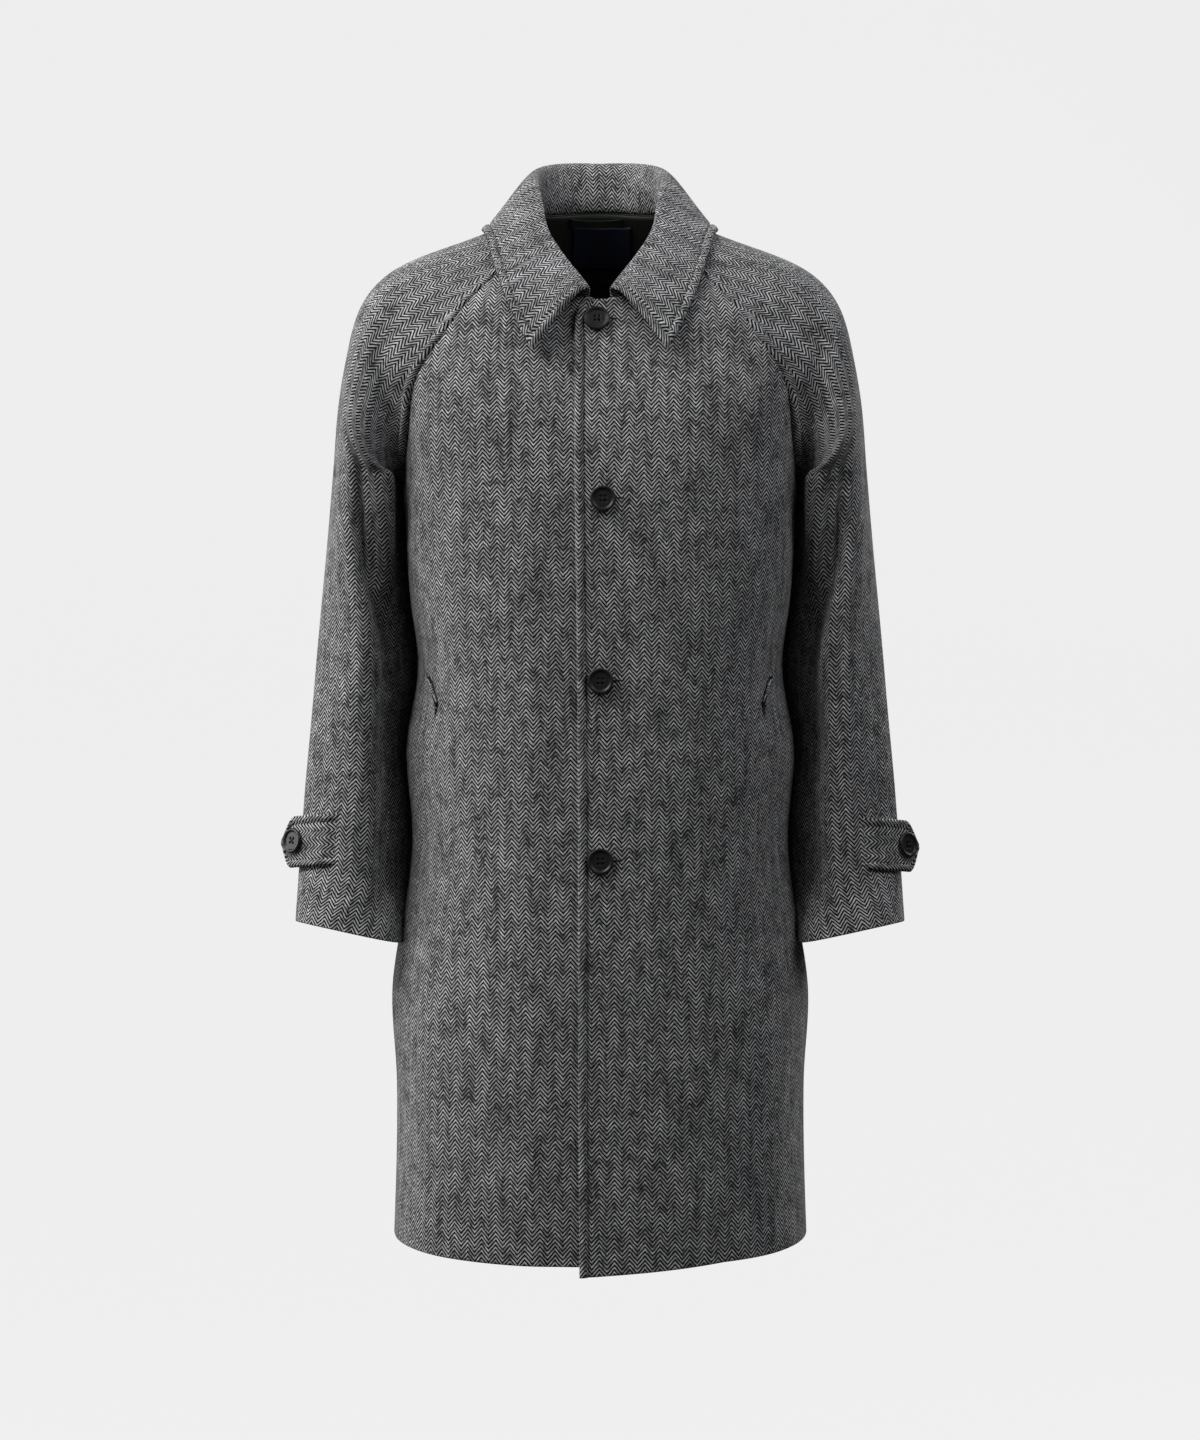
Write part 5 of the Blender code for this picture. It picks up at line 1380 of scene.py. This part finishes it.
def thread_bar(place, outward, way, long, tall):
    """Close stitches side by side along a short line, each square to it, as in a bartack."""
    across = unit(np.cross(outward, way))
    rows = []
    for at in np.arange(-0.5 * long, 0.5 * long, BAR_SPACE):
        ends = place + way * at + across * tall * np.array((-0.5, 0.5))[:, None]
        path = ends[0] + (ends[1] - ends[0]) * np.linspace(0.0, 1.0, 5)[:, None]
        face = np.broadcast_to(outward, path.shape)
        rows.append(stitch_row(path, face, tall * 0.96, tall * 0.03, BAR_THREAD, BAR_PROUD))
    return rows


def make_welt(side, word):
    """A slanted band that lies on the front, from its upper end down and outwards."""
    def surface(level, share):
        """The front that the welt lies on."""
        return front_surface(side, level, share)

    run = np.linspace(0.0, 1.0, 121)
    middle_row = surface(np.mean(WELT_LEVELS), run)
    along_row = arc(middle_row[None], 1)[0]
    inner = np.interp(WELT_ACROSS, middle_row[:, 0] * side, along_row)
    down = WELT_LENGTH * near_edges(True, True, 50)[None, :]
    end = np.linspace(0.0, 1.0, 41)[:, None]
    across = inner + end * WELT_END_ACROSS + down * math.sin(WELT_SLANT)
    height = WELT_TOP + end * WELT_END_RISE - down * math.cos(WELT_SLANT)
    share = np.interp(across, along_row, run)
    low, high = WELT_LEVELS
    low_height = surface(low, share)[..., 2]
    high_height = surface(high, share)[..., 2]
    level = low + (high - low) * (height - low_height) / (high_height - low_height)
    grid = surface(level, share)
    outward = turned_out(surface_normals(surface, level, share), grid, DEEP_INSIDE)
    grid = resting(cloth_tree(fronts[word][0]), grid, outward, LAY_GAP + WELT_CLOTH)
    edges = to_edges(grid)
    free = edges["first"]
    lift = stitched(free, WELT_STITCH, WELT_SWELL, WELT_GROOVE)
    lift = lift + WELT_LIFT * np.exp(-(free / WELT_LIFT_REACH) ** 2)
    lift = lift - WELT_SETTLE * ease(WELT_STITCH, 3.0 * WELT_STITCH, free)
    outer = grid + outward * lift[..., None]
    uv = np.stack((across + 0.0 * down, height), axis=-1)
    welt = cloth("pocket_welt_" + word, "_cloth", outer, outward, uv, tweed,
                 WELT_CLOTH)
    rows = [edge_stitches(outer, outward, free, WELT_STITCH)]
    first = outer[BARTACK_ROWS[0]]
    way = unit(first[BARTACK_TOWARDS] - first[BARTACK_COLUMN])
    for row in BARTACK_ROWS:
        rows += thread_bar(outer[row, BARTACK_COLUMN], outward[row, BARTACK_COLUMN], way,
                           BARTACK_LONG, BARTACK_TALL)
    sewn = stitching("pocket_welt_" + word + "_stitching", rows)


for side, word in SIDES:
    make_welt(side, word)


# Buttons: pressed horn-look plastic in charcoal, 25.4 mm across, with a raised rim, a dished
# middle and four holes, sewn with dark thread. Four close the front, one holds each cuff tab.
BUTTON_RADIUS = 0.0127
BUTTON_THICK = 0.0042
BUTTON_RIM = 0.0030
BUTTON_DISH = 0.0015
BUTTON_SIDES = 64
BUTTON_GAP = 0.0006
HOLE_AWAY = 0.0030
HOLE_RADIUS = 0.0012
HOLE_DEEP = 0.0022
HOLE_TURNS = np.pi * np.array((0.25, 0.75, 1.25, 1.75))
SEWN_SPREAD = 0.0003
SEWN_PROUD = 0.0004
HORN_DARK = "141514"
HORN_PALE = "2C2D2B"
HOLE_FROM_BUTTON = 0.0140
HOLE_DROP = 0.0010
BUTTONHOLE_LONG = 0.0125
BUTTONHOLE_TALL = 0.0021

# Finding a place on the cloth: steps taken, the farthest share allowed, about how far the front
# and the back of the neck reach across, and about where the neck is on the back and the front.
NEWTON_STEPS = 12
FAR_SHARE = 0.9
FRONT_REACH = 0.4
NECK_REACH = 0.09
NECK_LEVEL = 1.88
NECK_FRONT = -0.09

# Buttons down the front: across the centre line, and height.
FRONT_BUTTONS = ((-0.0030, -0.1135), (0.0029, -0.2945), (0.0005, -0.4725), (0.0005, -0.6470))

horn, tree, shader = material("charcoal_horn_button")
cloud = node(tree, "ShaderNodeTexNoise", Vector=node(tree, "ShaderNodeTexCoord").outputs["Object"],
             Scale=180.0, Detail=3.0, Roughness=0.6)
streak = node(tree, "ShaderNodeMix", {"data_type": "RGBA"}, Factor=cloud, i6=linear(HORN_DARK),
              i7=linear(HORN_PALE))
wire(tree, shader, Base_Color=streak.outputs[2], Roughness=0.38, Specular_IOR_Level=0.35)


def button_points(radius_share, turn):
    """A turned profile from the middle of the face, over the rim and under to the flat back.

    The radius and height follow the named profile. The face is pressed in at four holes.
    """
    inner = BUTTON_RADIUS - BUTTON_RIM
    key = np.array((0.0, 0.30, 0.52, 0.60, 0.68, 0.76, 0.82, 0.88, 0.93, 0.97, 1.0))
    radius = np.array((0.0, inner * 0.55, inner - 0.0010, inner - 0.0002, inner + 0.0006,
                       BUTTON_RADIUS - 0.0012, BUTTON_RADIUS - 0.0004, BUTTON_RADIUS,
                       BUTTON_RADIUS - 0.0003, BUTTON_RADIUS - 0.0016, 0.0))
    height = BUTTON_THICK - np.array((BUTTON_DISH, BUTTON_DISH, BUTTON_DISH, 0.6 * BUTTON_DISH,
                                      0.12 * BUTTON_DISH, 0.0, 0.0003, 0.0014, 0.0032, 0.0042,
                                      BUTTON_THICK))
    far = np.interp(radius_share, key, radius)
    high = np.interp(radius_share, key, height)
    x, y = far * np.cos(turn), far * np.sin(turn)
    for hole in HOLE_TURNS:
        near = np.hypot(x - HOLE_AWAY * np.cos(hole), y - HOLE_AWAY * np.sin(hole))
        pressed = ease(HOLE_RADIUS * 1.25, HOLE_RADIUS * 0.75, near) * (radius_share < 0.6)
        high = high - HOLE_DEEP * pressed
    return points(x, y, high)


def turned_frame(outward):
    """Across, up and outward directions of a button that faces outward."""
    across = unit(np.cross(UPWARD, outward))
    return np.stack((across, np.cross(outward, across), outward))


def make_button(name, place, outward):
    """A button whose back centre is at a place, with its sewing thread across the holes."""
    share = np.concatenate((np.linspace(0.0, 0.56, 26), np.linspace(0.58, 1.0, 22)))[:, None]
    turn = np.linspace(0.0, 2.0 * math.pi, BUTTON_SIDES + 1)[None, :]
    grid = button_points(share, turn)
    turned = grid.reshape(-1, 3) @ turned_frame(outward) + place
    button = mesh_object(name + "_horn", turned, grid_quads(len(share), BUTTON_SIDES + 1), horn)
    shape = bmesh.new()
    shape.from_mesh(button.data)
    bmesh.ops.remove_doubles(shape, verts=shape.verts, dist=0.00002)
    bmesh.ops.recalc_face_normals(shape, faces=shape.faces)
    shape.to_mesh(button.data)
    shape.free()
    button.data.shade_smooth()
    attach(button, "root")
    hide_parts(name)
    rows = []
    reach = HOLE_AWAY * 0.80
    for low in (-1.0, 1.0):
        for shift in (-SEWN_SPREAD, SEWN_SPREAD):
            ends = np.array(((-reach, -low * reach + shift, BUTTON_THICK - BUTTON_DISH),
                             (reach, low * reach + shift, BUTTON_THICK - BUTTON_DISH)))
            way = ends[0] + (ends[1] - ends[0]) * np.linspace(0.0, 1.0, 9)[:, None]
            path = way @ turned_frame(outward) + place
            face = np.broadcast_to(outward, path.shape)
            length = arc(path[:, None], 0)[-1, 0]
            rows.append(stitch_row(path, face, length * 0.98, length * 0.015, SEWN_SPREAD, SEWN_PROUD))
    stitching(name + "_thread", rows)


def found(surface, x, z, level, share):
    """Level and share where a surface has the given x and z, by Newton steps."""
    for _ in range(NEWTON_STEPS):
        here = surface(level, share)
        by_level = (here - surface(level - STEP, share)) / STEP
        by_share = (surface(level, share + STEP) - here) / STEP
        miss_x, miss_z = x - here[..., 0], z - here[..., 2]
        area = by_level[..., 0] * by_share[..., 2] - by_share[..., 0] * by_level[..., 2]
        level = level + (miss_x * by_share[..., 2] - by_share[..., 0] * miss_z) / area
        share = share + (by_level[..., 0] * miss_z - miss_x * by_level[..., 2]) / area
        level, share = np.clip(level, STEP, TOP), np.clip(share, -FAR_SHARE, FAR_SHARE)
    return level, share


def left_front(level, share):
    """The left front, which laps over the right one and has the buttonholes."""
    return front_surface(1.0, level, share)


for number, (x, z) in enumerate(FRONT_BUTTONS):
    guess = np.interp(z, (HEM_FRONT, UNDERARM_FRONT, NECK_FRONT), (0.0, 1.0, TOP))
    level, share = found(left_front, x, z, guess, x / FRONT_REACH)
    place = left_front(level, share)
    outward = surface_normals(left_front, level, share)
    outward = outward if outward[1] < 0 else -outward
    place = resting(cloth_tree(fronts["left"][0]), place[None], outward[None], BUTTON_GAP)[0]
    make_button("front_button_%d" % (number + 1), place, outward)
    slit = np.array((x + HOLE_FROM_BUTTON, 0.0, z + HOLE_DROP))
    level, share = found(left_front, slit[0], slit[2], guess, slit[0] / FRONT_REACH)
    slit = resting(cloth_tree(fronts["left"][0]), left_front(level, share)[None], outward[None], 0.0)[0]
    way = unit(np.cross(UPWARD, outward))
    rows = thread_bar(slit, outward, way * np.sign(way[0]), BUTTONHOLE_LONG, BUTTONHOLE_TALL)
    stitching("buttonhole_%d" % (number + 1), rows)


# The cuff tabs: pointed straps of doubled tweed, each sewn flat to the front of the sleeve at its
# root and standing off it at its free end, stitched along both edges, with a button on it.
TAB_ROOT = 0.58
TAB_LEAVE = 0.80
TAB_LEVEL_LEFT = 0.184
TAB_LEVEL_RIGHT = 0.193
TAB_TILT = -0.065
TAB_HALF_WIDTH = 0.055
TAB_FREE = 0.0415
TAB_POINT = 0.018
TAB_LIFT = 0.0015
TAB_WALL = 0.0030
TAB_BLUNT = 0.004
TAB_CURL = 2.0
TAB_STITCH = 0.0080
TAB_SWELL = 0.0016
TAB_GROOVE = 0.0015
TAB_STITCHED_WIDE = 0.020
TAB_SETTLE = 0.0032
TAB_SETTLE_REACH = 0.014
TAB_BUTTON_AWAY = 0.020
TAB_TIP_ROWS = np.array((0.0036, 0.0028, 0.0020, 0.0013, 0.0007, 0.0003, 0.0))
TAB_TIP_CLEAR = 0.0045


def make_cuff_tab(side, word):
    """A pointed strap: sewn on the front of the sleeve, its far end standing free."""
    def surface(level, share):
        """The sleeve front that the tab lies on."""
        return sleeve_surface(side, -1.0, level, share)

    across = 2.0 * near_edges(True, True, 30) - 1.0
    on_sleeve = TAB_ROOT + (TAB_LEAVE - TAB_ROOT) * np.concatenate((
        (0.0, 0.008, 0.02, 0.04), np.linspace(0.07, 1.0, 30)))
    centre = TAB_LEVEL_LEFT if side > 0 else TAB_LEVEL_RIGHT
    level = centre + TAB_HALF_WIDTH * across[:, None] + TAB_TILT * (on_sleeve[None, :] - TAB_ROOT)
    share = np.broadcast_to(on_sleeve, level.shape)
    grid = surface(level, share)
    middle = np.mean(surface(np.full(2, centre), np.array((0.0, 1.0))), axis=0)
    outward = turned_out(surface_normals(surface, level, share), grid, middle)
    grid = resting(cloth_tree(sleeves[word][0]), grid, outward, LAY_GAP + TAB_WALL)
    grid += outward * (TAB_LIFT * ease(TAB_ROOT, TAB_LEAVE, on_sleeve))[None, :, None]
    half = len(across) // 2
    middle_way = unit(np.mean(unit(grid[:, -1] - grid[:, -3]), axis=0))
    middle_edge = grid[half, -1]
    bend = outward[half, -1]
    far = np.concatenate((np.linspace(0.0, TAB_FREE - TAB_TIP_CLEAR, 26)[1:], TAB_FREE - TAB_TIP_ROWS))
    taper = 1.0 - ease(TAB_FREE - TAB_POINT, TAB_FREE + TAB_BLUNT, far)
    free = middle_edge + middle_way * far[:, None] - bend * (far[:, None] ** 2) * TAB_CURL
    spread = grid[:, -1] - middle_edge
    beyond = free[None] + spread[:, None] * taper[None, :, None]
    grid = np.concatenate((grid, beyond), axis=1)
    outward = turned_out(grid_normals(grid), grid, middle)
    edges = to_edges(grid)
    free_edge = np.minimum(edges["last"], np.minimum(edges["bottom"], edges["top"]))
    lift = stitched(free_edge, TAB_STITCH, TAB_SWELL, TAB_GROOVE) * ease(0.0, EDGE_SOFT, free_edge)
    lift = lift - TAB_SETTLE * ease(TAB_SETTLE_REACH, 0.0, edges["first"])
    outer = grid + outward * lift[..., None]
    uv = np.stack((edges["bottom"], edges["first"]), axis=-1)
    tab = cloth("cuff_tab_" + word, "_cloth", outer, outward, uv, tweed,
                TAB_WALL)
    rows = [end_stitches(outer, outward, edges, end,
                         np.max(edges[end], axis=0) > TAB_STITCHED_WIDE, TAB_STITCH)
            for end in ("bottom", "top")]
    sewn = stitching("cuff_tab_" + word + "_stitching", rows)
    along = edges["first"][half]
    spot = np.argmin(np.abs(along - along[len(on_sleeve) - 1] - TAB_BUTTON_AWAY))
    make_button("cuff_button_" + word, outer[half, spot] + outward[half, spot] * BUTTON_GAP,
                outward[half, spot])


for side, word in SIDES:
    make_cuff_tab(side, word)


# The neck inside: a dark satin lining, a hanger loop of the same satin, a bare navy label and a
# bare size tab, all sewn to the lining below the collar. Each small piece is given by its centre
# and width across the coat, and the heights of its two long edges.
LINING_LOW = 1.45
LINING_HIGH = 1.997
LINING_SIDE = 0.96
LINING_WALL = 0.0010
LABEL_CENTRE = 0.0020
LABEL_WIDTH = 0.064
LABEL_LOW = -0.0275
LABEL_TOP = 0.0132
LABEL_WALL = 0.0008
SIZE_TAB_CENTRE = 0.0040
SIZE_TAB_WIDTH = 0.012
SIZE_TAB_LOW = -0.0430
SIZE_TAB_TOP = -0.0290
LOOP_CENTRE = -0.0045
LOOP_WIDTH = 0.058
LOOP_LOW = 0.0142
LOOP_TOP = 0.0212
LOOP_SLACK = 0.0030

# Ribbon: navy polyester, dull and woven in fine ribs, a third of a millimetre apart.
NAVY = "20243C"
navy, tree, shader = material("navy_woven_ribbon")
rib = node(tree, "ShaderNodeTexWave", {"wave_type": "BANDS", "bands_direction": "Z"}, Scale=900.0,
           Vector=node(tree, "ShaderNodeTexCoord").outputs["Object"], Distortion=1.0)
bump = node(tree, "ShaderNodeBump", Strength=0.3, Distance=0.0003, Height=rib.outputs["Fac"])
wire(tree, shader, Base_Color=linear(NAVY), Normal=bump, Roughness=0.6)

level, share = np.broadcast_arrays(np.linspace(LINING_LOW, LINING_HIGH, 50)[:, None],
                                   np.linspace(-LINING_SIDE, LINING_SIDE, 90)[None, :])
lining_grid = back_surface(level, share)
lining_outward = turned_out(surface_normals(back_surface, level, share), lining_grid, DEEP_INSIDE)
lining_grid = lining_grid - lining_outward * (WALL + LAY_GAP)
lining_uv = np.stack((arc(lining_grid, 1), arc(lining_grid, 0)), axis=-1)
lining = cloth("lining_back", "_satin", lining_grid, lining_outward, lining_uv, satin,
               LINING_WALL)


def make_inside_patch(name, centre, width, low, high, slack, look):
    """A small flat piece sewn on the lining inside the neck, its middle slack off it."""
    run = np.linspace(-0.5, 0.5, 41)
    x, z = np.broadcast_arrays((centre + width * run)[None, :], np.linspace(low, high, 21)[:, None])
    level, share = found(back_surface, x, z, np.full(x.shape, NECK_LEVEL), x / NECK_REACH)
    grid = back_surface(level, share)
    outward = turned_out(surface_normals(back_surface, level, share), grid, DEEP_INSIDE)
    grid = grid - outward * (WALL + LAY_GAP + LINING_WALL + LAY_GAP)
    grid = grid - outward * (slack * (1.0 - (2.0 * run) ** 2))[None, :, None]
    uv = np.stack((arc(grid, 1), arc(grid, 0)), axis=-1)
    patch = cloth(name, "_ribbon", grid, outward, uv, look, LABEL_WALL)


make_inside_patch("neck_label", LABEL_CENTRE, LABEL_WIDTH, LABEL_LOW, LABEL_TOP, 0.0, navy)
make_inside_patch("size_tab", SIZE_TAB_CENTRE, SIZE_TAB_WIDTH, SIZE_TAB_LOW, SIZE_TAB_TOP, 0.0, navy)
make_inside_patch("hanger_loop", LOOP_CENTRE, LOOP_WIDTH, LOOP_LOW, LOOP_TOP, LOOP_SLACK, satin)
